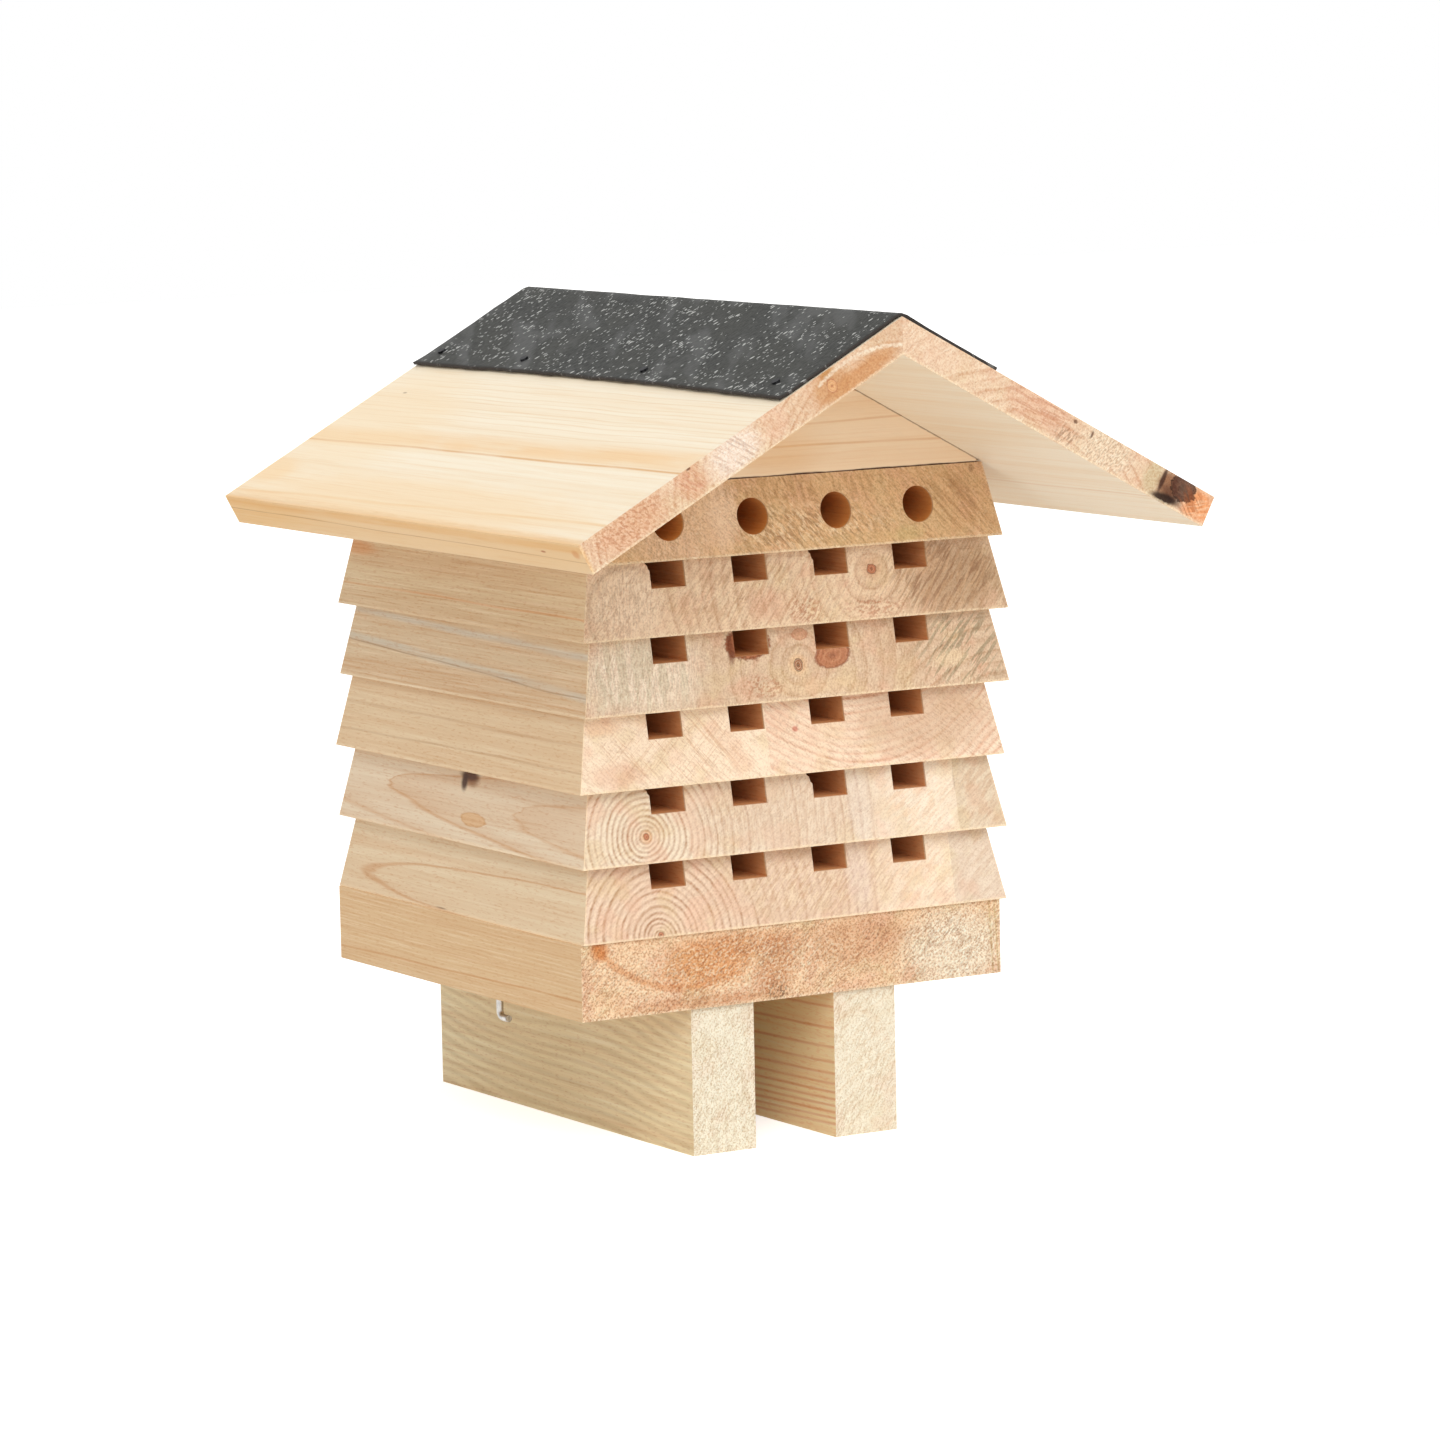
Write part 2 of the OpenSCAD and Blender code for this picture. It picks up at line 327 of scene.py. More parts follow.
@dataclass
class Strokes(Mark):
    """Many short marks of one direction, size and colour, inside a soft-edged part of the board.

    turn is their direction on the end grain, in degrees up from across, and level, from 0.4 to
    0.65, how few of them there are.
    """

    place: tuple
    radii: tuple
    turn: float
    size: tuple
    colour: tuple
    strength: float = 0.5
    level: float = 0.54

    def mask(self, wood):
        seed = self.place[0] * 0.37 + self.place[1] * 0.71 + self.size[0]
        strokes = wood.place.noise((*self.size, STROKE_DEPTH)[:3], turn=self.turn, seed=seed, detail=1.0)
        mask = strokes.step(self.level - 0.03, self.level + 0.05, 0.0, self.strength)
        return mask * wood.area(self.place, self.radii)


@dataclass
class Knot(Mark):
    """A cut branch: its own rings, and a dark rim and heart."""

    place: tuple
    radii: tuple
    colour: tuple
    rim: tuple
    ring: tuple
    turn: float = 0.0
    strength: float = 0.9
    torn: float = 0.5

    def paint(self, wood, colour):
        waves = 16
        distance = wood.place.local(wood.spot(self.place), self.turn, (*self.radii, KNOT_DEPTH)[:3]).length()
        distance = distance.shaken(wood.ragged, self.torn)
        ring = (distance * waves).by("SINE")
        body = wood.mix(ring.step(-0.2, 1.0, 0.0, 0.55), self.colour, self.ring)
        body = wood.mix(distance.step(0.05, 0.35, 0.8, 0.0), body, self.rim)
        shown = wood.on_face(self.place)
        inside = distance.step(0.9, 1.05, self.strength, 0.0)
        outline = abs(distance - 0.97).step(0.03, 0.16, self.strength * 0.7, 0.0)
        colour = wood.mix(inside * shown, colour, body)
        return wood.mix(outline * shown, colour, self.rim)


@dataclass
class Vein(Mark):
    """A line in the wood: a sheet through place and square to normal, which shows where it comes out.

    only keeps it to one long face.
    """

    place: tuple
    normal: tuple
    width: float
    colour: tuple
    strength: float = 0.6
    only: tuple = None
    wander: float = 1.2

    def mask(self, wood):
        run = 55
        normal = Vector((*self.normal, 0)[:3]).normalized()
        drift = wood.place.noise((run, run, run), seed=self.place[1], detail=1.0)
        distance = (wood.place - (*self.place, 0)[:3]).dot(normal).shaken(drift, 2 * self.wander)
        mask = abs(distance).step(self.width * 0.15, self.width, self.strength, 0.0)
        mask = mask * wood.mottle.step(0.25, 0.6, 0.55, 1.0)
        return mask * wood.beyond(self.only) if self.only else mask


@dataclass
class Loop(Mark):
    """A ring cut lengthwise: part of a long ellipse on the board's left face.

    place and radii are through and along the board.
    """

    place: tuple
    radii: tuple
    width: float
    colour: tuple
    strength: float

    def mask(self, wood):
        flat = wood.combine(wood.through, wood.along, 0.0)
        distance = flat.local((*self.place, 0), 0.0, (*self.radii, 1)).length().shaken(wood.mottle, 0.12)
        off = abs(distance - 1.0) * self.radii[0]
        return off.step(self.width * 0.2, self.width, self.strength, 0.0) * wood.side * (wood.across < 0.0)


@dataclass
class Ripples(Mark):
    """Ring lines on a long face that rise and fall together along the board.

    slope is their fall for each millimetre along, swing and length the height and length of
    their waves, crest where one wave starts and spacing how far apart the lines lie.
    """

    slope: float
    swing: float
    length: float
    crest: float
    spacing: float
    width: float
    colour: tuple
    strength: float
    only: tuple

    def mask(self, wood):
        wave = ((wood.along - self.crest) * (math.tau / self.length)).by("SINE")
        drift = wood.place.noise((14, 14, 70), seed=self.crest, detail=1.0)
        height = wave * self.swing + wood.across + wood.along * -self.slope + drift * (2.4 * self.spacing)
        count = height / self.spacing
        mask = abs(count - round(count)).step(0.1 * self.width, self.width, self.strength, 0.0)
        return mask * wood.mottle.step(0.25, 0.6, 0.5, 1.0) * wood.beyond(self.only)


@dataclass
class Arc(Mark):
    """A growth ring that stands out on the end grain: part of a circle round centre.

    It fades away across the board, from past[0] to past[1].
    """

    centre: tuple
    radius: float
    width: float
    colour: tuple
    strength: float
    past: tuple

    def mask(self, wood):
        flat = (wood.place - (*self.centre, 0)) * (1, 1, 0)
        distance = (flat.length() - self.radius).shaken(wood.ragged, self.width * 1.6)
        mask = abs(distance).step(self.width * 0.2, self.width, self.strength, 0.0)
        return mask * wood.end * wood.across.step(*self.past, 1.0, 0.0)


@dataclass
class Rim(Mark):
    """By default, pale worn fibres along an edge, which also stand in for the edge's highlight, painted in.
    Other colours give an edge its own tint, and a dark one paints shade along a joint. normal and limit give
    a plane that the edge lies in; the marks show on the end grain or the sides.
    """

    normal: tuple
    limit: float
    width: float = 0.55
    strength: float = 0.55
    colour: tuple = (255, 232, 196)
    on_end: bool = True

    def mask(self, wood):
        reach = wood.place.dot(self.normal).shaken(wood.ragged, self.width)
        mask = reach.step(self.limit - self.width, self.limit - self.width * 0.3, 0.0, self.strength)
        return mask * (wood.end if self.on_end else wood.side)


@dataclass
class Hollow(Mark):
    """The inside of a layer's grooves or holes: plainer and a deeper orange than the sawn end, partly the
    router-burnt wood's own colour and partly painted shade of the recess.
    """

    half_width: float
    low: float
    high: float
    front: float
    back: float
    colour: tuple

    def mask(self, wood):
        depth = wood.along - (wood.through * math.tan(LAYER_SLOPE) + self.front)
        between = abs(wood.across).step(self.half_width, self.half_width + 1, 1.0, 0.0)
        above = wood.through.step(self.low - 0.3, self.low)
        below = wood.through.step(self.high, self.high + 0.1, 1.0, 0.0)
        return between * above * below * (wood.along < self.back) * depth.step(0.2, 1.0) * 0.85


class Wood(Nodes):
    """Pine whose rings, knots and veins run through the solid, so every face shows its own cut.

    Lengths are in millimetres from the board's own origin. slant is the direction of the sawn
    fibres on the end grain, in degrees up from across. The amounts from rings to dashes run from 0 to 1.
    """

    def __init__(self, name, board, grade, strips, marks, slant, rings=0.5, tail=0.25, lines=0.3, fibres=0.5,
                 tufts=0.5, specks=0.3, blotch=0.3, hatch=0.0, streaks=0.2, dashes=0.3, seed=0):
        super().__init__(bpy.data.materials.new(name))
        self.seed = seed
        self.front = board.front
        self.measure(board)
        self.grow(strips)
        self.scatter(slant)
        long_colour = self.long_grain(grade, lines)
        end_colour = self.end_grain(grade, slant, rings, tail, blotch, hatch)
        colour = self.mix(self.end, long_colour, end_colour)
        tints = [self.pick(strips, [strip.tint[part] for strip in strips]) for part in range(3)]
        colour = self.shade(1.0, colour, self.combine(*tints))
        for mark in marks:
            colour = mark.paint(self, colour)
        long_colour, long_height = self.planed(colour, grade, streaks, dashes)
        end_colour, end_height = self.sawn(colour, grade, fibres, tufts, specks)
        colour = self.mix(self.end, long_colour, end_colour)
        height = self.blend(self.end, long_height, end_height)
        end_roughness = 0.85
        long_roughness = self.streak.step(0.2, 0.8, 0.5, 0.66)
        roughness = self.blend(self.end, long_roughness, end_roughness)
        self.finish(colour, roughness, height, depth=0.16, sheen=0.25)

    def measure(self, board):
        """The place in the board, and how squarely the surface looks along the grain."""
        offset = self.surface("Object") - board.origin
        normal = self.surface("Normal")
        axes = (board.across, board.through, board.along)
        self.across, self.through, self.along = (offset.dot(axis / MM) for axis in axes)
        self.place = self.combine(self.across, self.through, self.along)
        looks = [normal.dot(axis) for axis in axes]
        self.facing = self.combine(*looks)
        self.end = abs(looks[2]).step(0.55, 0.8)
        self.side = abs(looks[2]).step(0.55, 0.8, 1.0, 0.0)
        self.ragged = self.noise(1, (0.9, 0.9, 6))
        self.mottle = self.noise(2, (5, 5, 26))

    def noise(self, number, sizes, **settings):
        """The board's own noise of that number."""
        return self.place.noise(sizes, seed=self.seed + number, **settings)

    def spot(self, place):
        """A place of two numbers lies on the end that faces the viewer."""
        return (*place, self.front)[:3]

    def on_face(self, place):
        """A place of two numbers shows on the board's ends alone."""
        return 1.0 if len(place) == 3 else self.end

    def beyond(self, face):
        """1 on a long face, given by a direction and how far out the face lies in it."""
        direction, limit = face
        return self.place.dot(direction).step(limit - 0.5, limit) * self.side

    def area(self, place, radii, ragged=0.5, turn=0.0):
        """1 inside an ellipsoid with a soft ragged edge, and 0 outside it."""
        distance = self.place.local(self.spot(place), turn, (*radii, STAIN_DEPTH)[:3]).length()
        distance = self.mottle * ragged + distance
        return distance.step(0.4 + ragged / 2, 1.1 + ragged / 2, 1.0, 0.0) * self.on_face(place)

    def pick(self, strips, values):
        """A number that changes from strip to strip across the board."""
        result = values[0]
        for previous, value in zip(strips, values[1:]):
            result = self.blend(self.across > previous.end, result, value)
        return result

    def grow(self, strips):
        """Ring number, and the distance to the nearest ring's edge as it shows on the surface."""
        warp = 3
        lean = [self.pick(strips, [strip.lean[part] for strip in strips]) for part in range(2)]
        pith = [self.pick(strips, [strip.pith[part] for strip in strips]) for part in range(2)]
        ring = self.pick(strips, [strip.ring for strip in strips])
        power = self.pick(strips, [strip.power for strip in strips])
        heart = self.combine(*(self.along * slope + start for slope, start in zip(lean, pith)), self.along)
        wander = self.noise(3, (24, 24, 190), detail=1.0, rough=0.4, output="Color")
        radial = self.place - heart + (wander - (0.5, 0.5, 0.5)) * (warp, warp, 0)
        radius = radial.length()
        count = (radius / ring).by("POWER", power)
        growth = count * power / (radius + 0.2)
        uneven = self.combine(radius, self.seed + 0.5, 0.0).noise((7, 1, 1), detail=1.0)
        wiggle = self.noise(4, (2.6, 2.6, 60))
        count = wiggle * 0.28 + (uneven * 1.1 + count)
        nearest = round(count)
        outward = radial.by("NORMALIZE")
        slide = outward.dot(self.combine(*lean, 0.0))
        outward = outward - self.combine(0.0, 0.0, slide)
        square = outward.by("CROSS_PRODUCT", self.facing).length()
        shown = (square * growth).by("MAXIMUM", 0.004)
        self.line_distance = abs(count - nearest) / shown
        self.tail = count.by("FRACT").step(0.35, 0.97)
        year = self.add("TexWhiteNoise", {"W": nearest}, noise_dimensions="1D").outputs["Value"]
        self.year = Value(self, year).step(0.05, 0.95, 0.45, 1.0)

    def scatter(self, slant):
        """Where the fine marks lie: streaks and dashes along the board, and what the saw tore on its ends."""
        self.streak = self.noise(5, (0.6, 0.6, 34), detail=3.0, rough=0.6)
        self.dash = self.noise(7, (0.45, 0.45, 2.6), detail=1.0)
        self.torn = self.noise(8, (2.4, 0.55, 6), turn=slant, detail=1.0).step(0.5, 0.62)
        self.tuft = self.noise(9, (1.5, 0.5, 4), turn=slant + 8, detail=1.0).step(0.52, 0.63)
        speck = self.noise(10, (0.55, 0.55, 2))
        self.pit = speck.step(0.5, 0.64)
        self.grain = speck.step(0.5, 0.36)

    def long_grain(self, grade, lines):
        """Planed faces: faint ring lines and wide soft bands."""
        line = self.line_distance.step(0.1, 0.75, lines, 0.0) * self.year
        colour = self.mix(self.tail * self.year * (lines * 0.55), grade.long, grade.vein)
        colour = self.mix(line, colour, grade.vein)
        return self.mix(self.noise(6, (4.5, 4.5, 210)).step(0.42, 0.62, 0.0, 0.18), colour, grade.vein)

    def end_grain(self, grade, slant, rings, tail, blotch, hatch):
        """Sawn ends: broken ring lines, soft pink and yellow blotches, and saw marks."""
        pink, yellow, worn = self.noise(11, (9, 9, 40), output="Color").parts("Color")
        self.worn = worn.step(0.4, 0.6, 0.45, 1.0)
        broken = self.mottle.step(0.35, 0.6, 0.6, 1.0) * self.torn.step(0.0, 1.0, 0.7, 1.0)
        line = self.line_distance.step(0.1, 0.6, rings, 0.0) * self.year * broken
        colour = self.mix(self.tail * self.year * tail, grade.end, grade.ring)
        colour = self.mix(line, colour, grade.ring)
        colour = self.mix(pink.step(0.5, 0.66, 0.0, blotch), colour, (232, 176, 146))
        colour = self.mix(yellow.step(0.5, 0.66, 0.0, blotch), colour, (226, 200, 152))
        if hatch:
            comb = self.noise(12, (14, 0.8, 20), turn=slant, detail=0.0)
            colour = self.mix(comb.step(0.5, 0.6, 0.0, hatch), colour, grade.ring)
        return colour

    def planed(self, colour, grade, streaks, dashes):
        """Fine streaks along the board, and a few short dashes."""
        dark = tint(grade.vein, grade.long)
        pale = tint(grade.tuft, grade.long)
        colour = self.shade(self.streak.step(0.5, 0.68, 0.0, streaks), colour, dark)
        colour = self.shade(self.streak.step(0.48, 0.32, 0.0, streaks), colour, pale)
        colour = self.shade(self.dash.step(0.58, 0.68, 0.0, dashes), colour, dark)
        return colour, self.dash * -0.3 + self.streak * 0.7

    def sawn(self, colour, grade, fibres, tufts, specks):
        """Slanting torn fibres, pale tufts, pits and grains."""
        dark = tint(grade.fibre, grade.end)
        pale = tint(grade.tuft, grade.end)
        colour = self.shade(self.torn * self.worn * fibres, colour, dark)
        colour = self.shade(self.tuft * self.worn * tufts, colour, pale)
        colour = self.shade(self.pit * specks, colour, dark)
        colour = self.shade(self.grain * specks, colour, pale)
        return colour, self.tuft * tufts - self.torn * fibres + self.grain * specks - self.pit * specks


def give(node, material, soft=0.0):
    """Puts a material on a CAD node and rounds its edges by soft millimetres."""
    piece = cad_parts[node]
    piece.data.materials.clear()
    piece.data.materials.append(material)
    if soft:
        bevel = piece.modifiers.new("soft edges", "BEVEL")
        bevel.width = soft * MM
        bevel.segments = 2
        bevel.limit_method = "ANGLE"
        bevel.angle_limit = math.radians(30)


def link(name, data):
    """A new object that shows data."""
    thing = bpy.data.objects.new(name, data)
    bpy.context.collection.objects.link(thing)
    return thing


def link_mesh(name, mesh):
    """A new object made of a finished bmesh."""
    data = bpy.data.meshes.new(name)
    mesh.to_mesh(data)
    mesh.free()
    return link(name, data)


def centre(node):
    low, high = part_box(node)
    return (Vector(low) + Vector(high)) / 2


def half_sizes(node):
    """Half of a node's box, in millimetres."""
    low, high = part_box(node)
    return (Vector(high) - Vector(low)) / 2 / MM


def level_board(node):
    """A board with its grain from front to back."""
    return Board(X, Z, Y, centre(node), -half_sizes(node).y)


def roof_board(side):
    """Measured down the slope from the ridge, out from the top face, and along."""
    down = Vector((side * math.cos(ROOF_PITCH), 0, -math.sin(ROOF_PITCH)))
    out = Vector((side * math.sin(ROOF_PITCH), 0, math.cos(ROOF_PITCH)))
    return Board(down, out, Y, (0, STACK_Y, RIDGE_Z), (roof_low.y - STACK_Y) / MM)


def layer_face(node, through):
    """Where a layer's slanted front lies along the grain, at a height from its middle."""
    half = half_sizes(node)
    return -half.y + (half.z + through) * math.tan(LAYER_SLOPE)


def layer_marks(node, hollow_low, hollow_high, burnt_and_shaded=(219, 152, 98)):
    """Worn rims along a louvred layer's edges, with their painted highlight, and the colour inside its nests:
    partly the router-burnt wood's own, partly painted shade.
    """
    margin = 9
    half = half_sizes(node)
    lean = Vector((math.cos(LAYER_SLOPE), math.sin(LAYER_SLOPE), 0))
    reach = half.x * lean.x - half.z * lean.y
    return [
        Rim((0, -1, 0), half.z, width=0.8),
        Rim((lean.x, lean.y, 0), reach, strength=0.3),
        Rim((-lean.x, lean.y, 0), reach, strength=0.5),
        Rim((0, -1, 0), half.z, width=1.0, strength=0.4, on_end=False),
        Hollow(half.x - margin, hollow_low, hollow_high, layer_face(node, 0), half.y - HOLLOW_STOP, burnt_and_shaded),
    ]


def dress_layer(node, grade, strips, marks, chips=(), **look):
    """A tray's pine, and chips that the router broke out of its nests' upper left corners."""
    nest_floor = 2.3
    nest_top = half_sizes(node).z - 0.2
    marks = marks + layer_marks(node, nest_floor, nest_top)
    marks += [chip_shade(node, *chip) for chip in chips]
    give(node, Wood(node + "_pine", level_board(node), grade, strips, marks, **look).owner, 0.35)
    for chip in chips:
        break_out(node, *chip)


def dress_tray_1():
    """The top tray, with slanting saw marks and a small knot at its right."""
    grade = Grade(long=(234, 209, 170), end=(243, 214, 182), ring=(198, 150, 116))
    strips = [Strip(pith=(25, 3), ring=3.6)]
    marks = [
        Patch((-54, 0), (14, 14), (254, 228, 200), 0.75),
        Strokes((-54, -1), (13, 12), 84, (2.4, 0.6), UMBER, 0.26, 0.52),
        Arc((-53, -4), 13, 1.1, UMBER, 0.25, past=(-50, -44)),
        Strokes((-16, 0), (32, 14), 48, (8, 1.1), TAN, 0.42, 0.51),
        Strokes((-6, 0), (40, 14), 52, (8, 1.5), MILK, 0.45, 0.53),
        Patch((52, 0), (20, 14), (191, 157, 124), 0.75),
        Strokes((48, 0), (24, 14), 50, (8, 1.0), (150, 106, 74), 0.5, 0.52),
        Strokes((48, 0), (24, 14), 50, (7, 1.2), (226, 186, 146), 0.35, 0.54),
        Patch((25.1, 3.4), (4.5, 3.6), (224, 178, 142), 0.6),
        Strokes((25, -7), (13, 3.5), 15, (1.4, 0.8), RUST, 0.45, 0.52),
        Knot((25.1, 3.4), (1.5, 1.4, 40), RUST, BARK, PINK),
        Patch((-10, -4), (8, 6), PINK, 0.35),
        Strokes((2, -6), (8, 5), 40, (1.6, 0.7), RUST, 0.5, 0.51),
        Vein((-66, -4.4), (0, 1), 0.5, AMBER, 0.5, LAYER_LEFT),
        Patch((-66, 6.3, 66), (4, 3, 16), AMBER, 0.6),
    ]
    chips = ((-45.4, 1.5, 3.0), (6.6, 1.5, 3.6))
    dress_layer("tray_1", grade, strips, marks, chips, slant=52, rings=0.5, tail=0.35, fibres=0.25,
                tufts=0.3, specks=0.25, lines=0.2, streaks=0.36, seed=1)


def dress_tray_2():
    """Two staves with three knots, and two pale lines on the left side."""
    grade = Grade(long=(228, 202, 166), end=(228, 200, 171), ring=(192, 148, 112))
    strips = [Strip(34, pith=(0.3, -0.9), ring=4.2), Strip(pith=(70, -50), ring=3.0)]
    marks = [
        Patch((-50, 0), (25, 14), (252, 234, 212), 0.8),
        Strokes((-50, 0), (24, 13), 88, (16, 2.6), (204, 190, 160), 0.4, 0.5),
        Strokes((-50, 0), (26, 13), 86, (2.6, 0.6), (146, 126, 92), 0.25, 0.53),
        Patch((4, -7), (18, 3), (240, 208, 164), 0.35),
        Strokes((-12, -6), (9, 4), 30, (1.3, 0.8), RUST, 0.45, 0.52),
        Strokes((34, 0), (16, 12), 60, (8, 1.5), BUFF, 0.4, 0.51),
        Strokes((54, 0), (18, 13), 44, (9, 1.1), (145, 133, 103), 0.58, 0.52),
        Patch((0.3, -0.9), (3.6, 3.6), (238, 196, 152), 0.6),
        Knot((0.3, -0.9), (1.4, 1.7, 40), (160, 96, 62), (84, 48, 30), MILK),
        Knot((-15, 6.2), (7.0, 4.4, 30), (186, 112, 72), (136, 74, 44), (140, 76, 44)),
        Patch((-20.6, 5), (1.4, 5), (116, 60, 36), 0.8, ragged=0.3),
        Patch((-13.9, 6.5, -54), (9, 7, 11), (100, 54, 30), 0.85, ragged=0.3),
        Patch((-11, 3.4), (2.6, 1.0), (104, 56, 34), 0.75, ragged=0.3),
        Knot((11.6, 1.0), (5.6, 3.4, 25), (186, 118, 82), (140, 70, 42), (208, 150, 112),
             turn=8, torn=0.3),
        Knot((1.8, 7.4), (2.6, 1.6, 12), (208, 150, 112), RUST, PINK, strength=0.6),
        Patch((50, -2.5), (7, 3), (250, 226, 186), 0.4),
        Vein((-66, 7.6, 6), (0, 1, -0.021), 1.5, (216, 210, 196), 0.62, LAYER_LEFT),
        Vein((-66, -1.6, 4), (0, 1, -0.043), 1.8, (212, 208, 194), 0.55, LAYER_LEFT),
        Vein((-66, -2.9, -12), (0, 1, -0.036), 0.35, (168, 132, 96), 0.6, LAYER_LEFT),
    ]
    dress_layer("tray_2", grade, strips, marks, slant=70, rings=0.5, tail=0.35, fibres=0.2, tufts=0.3,
                specks=0.25, lines=0.2, streaks=0.36, seed=2)


def dress_tray_3():
    """The pinkest tray: almost plain, with crossed saw marks at its left."""
    grade = Grade(long=(232, 204, 168), end=(255, 231, 206), ring=(222, 166, 134))
    strips = [Strip(-8, (-300, 300), 612, tint=(1.02, 1.04, 1.03)), Strip(pith=(25, 45), ring=2.2)]
    marks = [
        Patch((6, 0), (16, 14), (252, 222, 194), 0.4),
        Strokes((-38, 0), (34, 13), -50, (16, 0.45), (212, 162, 120), 0.4, 0.59),
        Strokes((-38, 0), (34, 13), 42, (12, 0.45), (214, 168, 128), 0.3, 0.59),
        Patch((-60, 7), (8, 2.6), AMBER, 0.3),
        Patch((-56, -6), (12, 4), PINK, 0.3),
        Patch((44, 2), (30, 13), (218, 184, 154), 0.7),
        Patch((1.2, 2.0), (1.2, 1.0), (206, 112, 92), 0.7),
        Vein((-66, 2.7), (0, 1), 0.7, (196, 156, 116), 0.35, LAYER_LEFT),
        Vein((-66, -5.0), (0, 1), 0.5, (190, 148, 106), 0.5, LAYER_LEFT),
    ]
    dress_layer("tray_3", grade, strips, marks, slant=-38, rings=0.9, tail=0.42, fibres=0.2, tufts=0.25,
                specks=0.2, lines=0.18, seed=3)


def dress_tray_4():
    """Three staves: one with rings round a heart, a pale one and a darker one."""
    grade = Grade(long=(235, 215, 187), end=(246, 230, 206), ring=(184, 138, 102))
    strips = [Strip(26, (-45.5, -1.7), 0.505, power=0.7, lean=(0.034, 0.0187)),
              Strip(52.8, (400, -300), 720, tint=(1.04, 1.05, 1.08)),
              Strip(pith=(400, -300), ring=735, tint=(0.9, 0.88, 0.85))]
    marks = [
        Patch((0, 0), (40, 15), (228, 204, 181), 0.55, ragged=0.3),
        Strokes((-20, 0), (14, 13), 86, (2.0, 0.6), BUFF, 0.35, 0.52),
        Strokes((8, 0), (24, 13), 78, (2.6, 0.7), BUFF, 0.3, 0.52),
        Patch((21, 0), (5, 14), (240, 228, 216), 0.35),
        Strokes((40, 0), (14, 13), 38, (5, 1.1), (234, 190, 148), 0.28, 0.51),
        Strokes((61, 0), (9, 13), 48, (6, 1.1), TAN, 0.3, 0.51),
        Patch((52.7, 4), (0.4, 4), UMBER, 0.3, ragged=0.2),
        Patch((-47.8, -3.0), (2.2, 2.2), (242, 190, 140), 0.6),
        Knot((-47.8, -3.0), (0.9, 1.0, 8), RUST, BARK, PINK),
        Patch((-66, 8.6, 0), (6, 1.2, 5), (160, 130, 96), 0.6),
        Patch((-66, 7.4, -3.2), (8, 2.6, 5.4), (150, 102, 64), 0.9),
        Patch((-66, 8.3, -2.6), (8, 2.0, 6.0), (88, 52, 30), 0.95, ragged=0.7),
        Patch((-66, 6.4, 0.6), (8, 3.4, 2.4), (70, 38, 20), 0.95, ragged=0.7),
        Knot((-66, -3.4, -7.2), (6, 1.9, 7.0), (224, 178, 126), (208, 156, 102), (226, 184, 134),
             strength=0.7),
    ]
    chips = ((-45.4, 1.7, 2.7), (6.6, 2.0, 4.0))
    dress_layer("tray_4", grade, strips, marks, chips, slant=32, rings=0.9, tail=0.25, fibres=0.14,
                tufts=0.2, specks=0.16, hatch=0.1, lines=0.5, seed=4)


def dress_tray_5():
    """The lowest tray: like the fourth, with its heart at the lower edge."""
    grade = Grade(long=(234, 212, 178), end=(242, 216, 191), ring=(184, 136, 102))
    strips = [Strip(26.4, (-42.7, -7.5), 0.49, power=0.7, lean=(0.02, 0.035)),
              Strip(51.6, (400, -300), 720, tint=(1.08, 1.15, 1.18)),
              Strip(pith=(400, -300), ring=735, tint=(0.95, 1.01, 1.05))]
    marks = [
        Patch((6, 0), (38, 15), (224, 194, 169), 0.5, ragged=0.3),
        Strokes((6, 0), (34, 13), 46, (4, 0.9), BUFF, 0.5, 0.52),
        Strokes((10, 0), (34, 13), 50, (4, 0.9), MILK, 0.45, 0.53),
        Strokes((40, 0), (14, 13), 38, (6, 1.1), (236, 190, 146), 0.22, 0.51),
        Strokes((60, 0), (9, 13), 46, (8, 1.1), TAN, 0.16, 0.51),
        Patch((21, 1), (5, 14), (236, 218, 208), 0.35),
        Patch((4, 8.5), (10, 3), (198, 160, 128), 0.4),
        Knot((-44.1, -9.6), (0.9, 0.8, 8), RUST, BARK, PINK),
        Patch((-66, -9.6, 10), (5, 0.4, 5), BARK, 0.8),
        Loop((-4.2, -70), (7.5, 126), 0.36, (204, 150, 100), 0.55),
    ]
    dress_layer("tray_5", grade, strips, marks, slant=36, rings=0.9, tail=0.25, fibres=0.14, tufts=0.25,
                specks=0.16, hatch=0.12, lines=0.1, seed=5)


def dress_block():
    """The darkest board, paler at its left and round its holes."""
    node = "drilled_block"
    hole = 5.2
    dark = (126, 80, 44)
    marks = [
        Patch((-36, 0), (24, 15), (246, 208, 174), 0.6),
        Patch((-21, 2), (6, 12), (250, 214, 180), 0.85),
        Strokes((-40, -1), (14, 12), 84, (2.4, 0.7), UMBER, 0.22, 0.51),
        Strokes((2, 7), (40, 5), -80, (6, 1.6), (184, 136, 90), 0.4, 0.51),
        Strokes((6, -4), (32, 8), -46, (3.0, 0.8), dark, 0.35, 0.53),
        Strokes((4, -4), (32, 8), -50, (2.6, 0.8), (255, 226, 186), 0.6, 0.54),
        Strokes((53, 0), (15, 12), -50, (12, 1.1), (166, 114, 68), 0.36, 0.54),
        Patch((24, -8.4), (20, 2.6), (226, 190, 138), 0.4),
        Patch((38, -8), (6, 3), (206, 186, 126), 0.35),
        Patch((60.7, 8.8), (1.2, 1.4), BARK, 0.35, ragged=0.3),
        *layer_marks(node, -hole, hole, (222, 146, 72)),
    ]
    grade = Grade(long=(222, 188, 146), end=(233, 191, 144), ring=(176, 124, 80),
                  fibre=(150, 100, 58), tuft=(250, 220, 178))
    pine = Wood("block_pine", level_board(node), grade, [Strip(pith=(99, 38), ring=3.4)], marks, slant=-46,
                rings=0.35, tail=0.2, fibres=0.25, tufts=0.3, specks=0.25, blotch=0.25, lines=0.25, seed=6)
    give(node, pine.owner, 0.3)


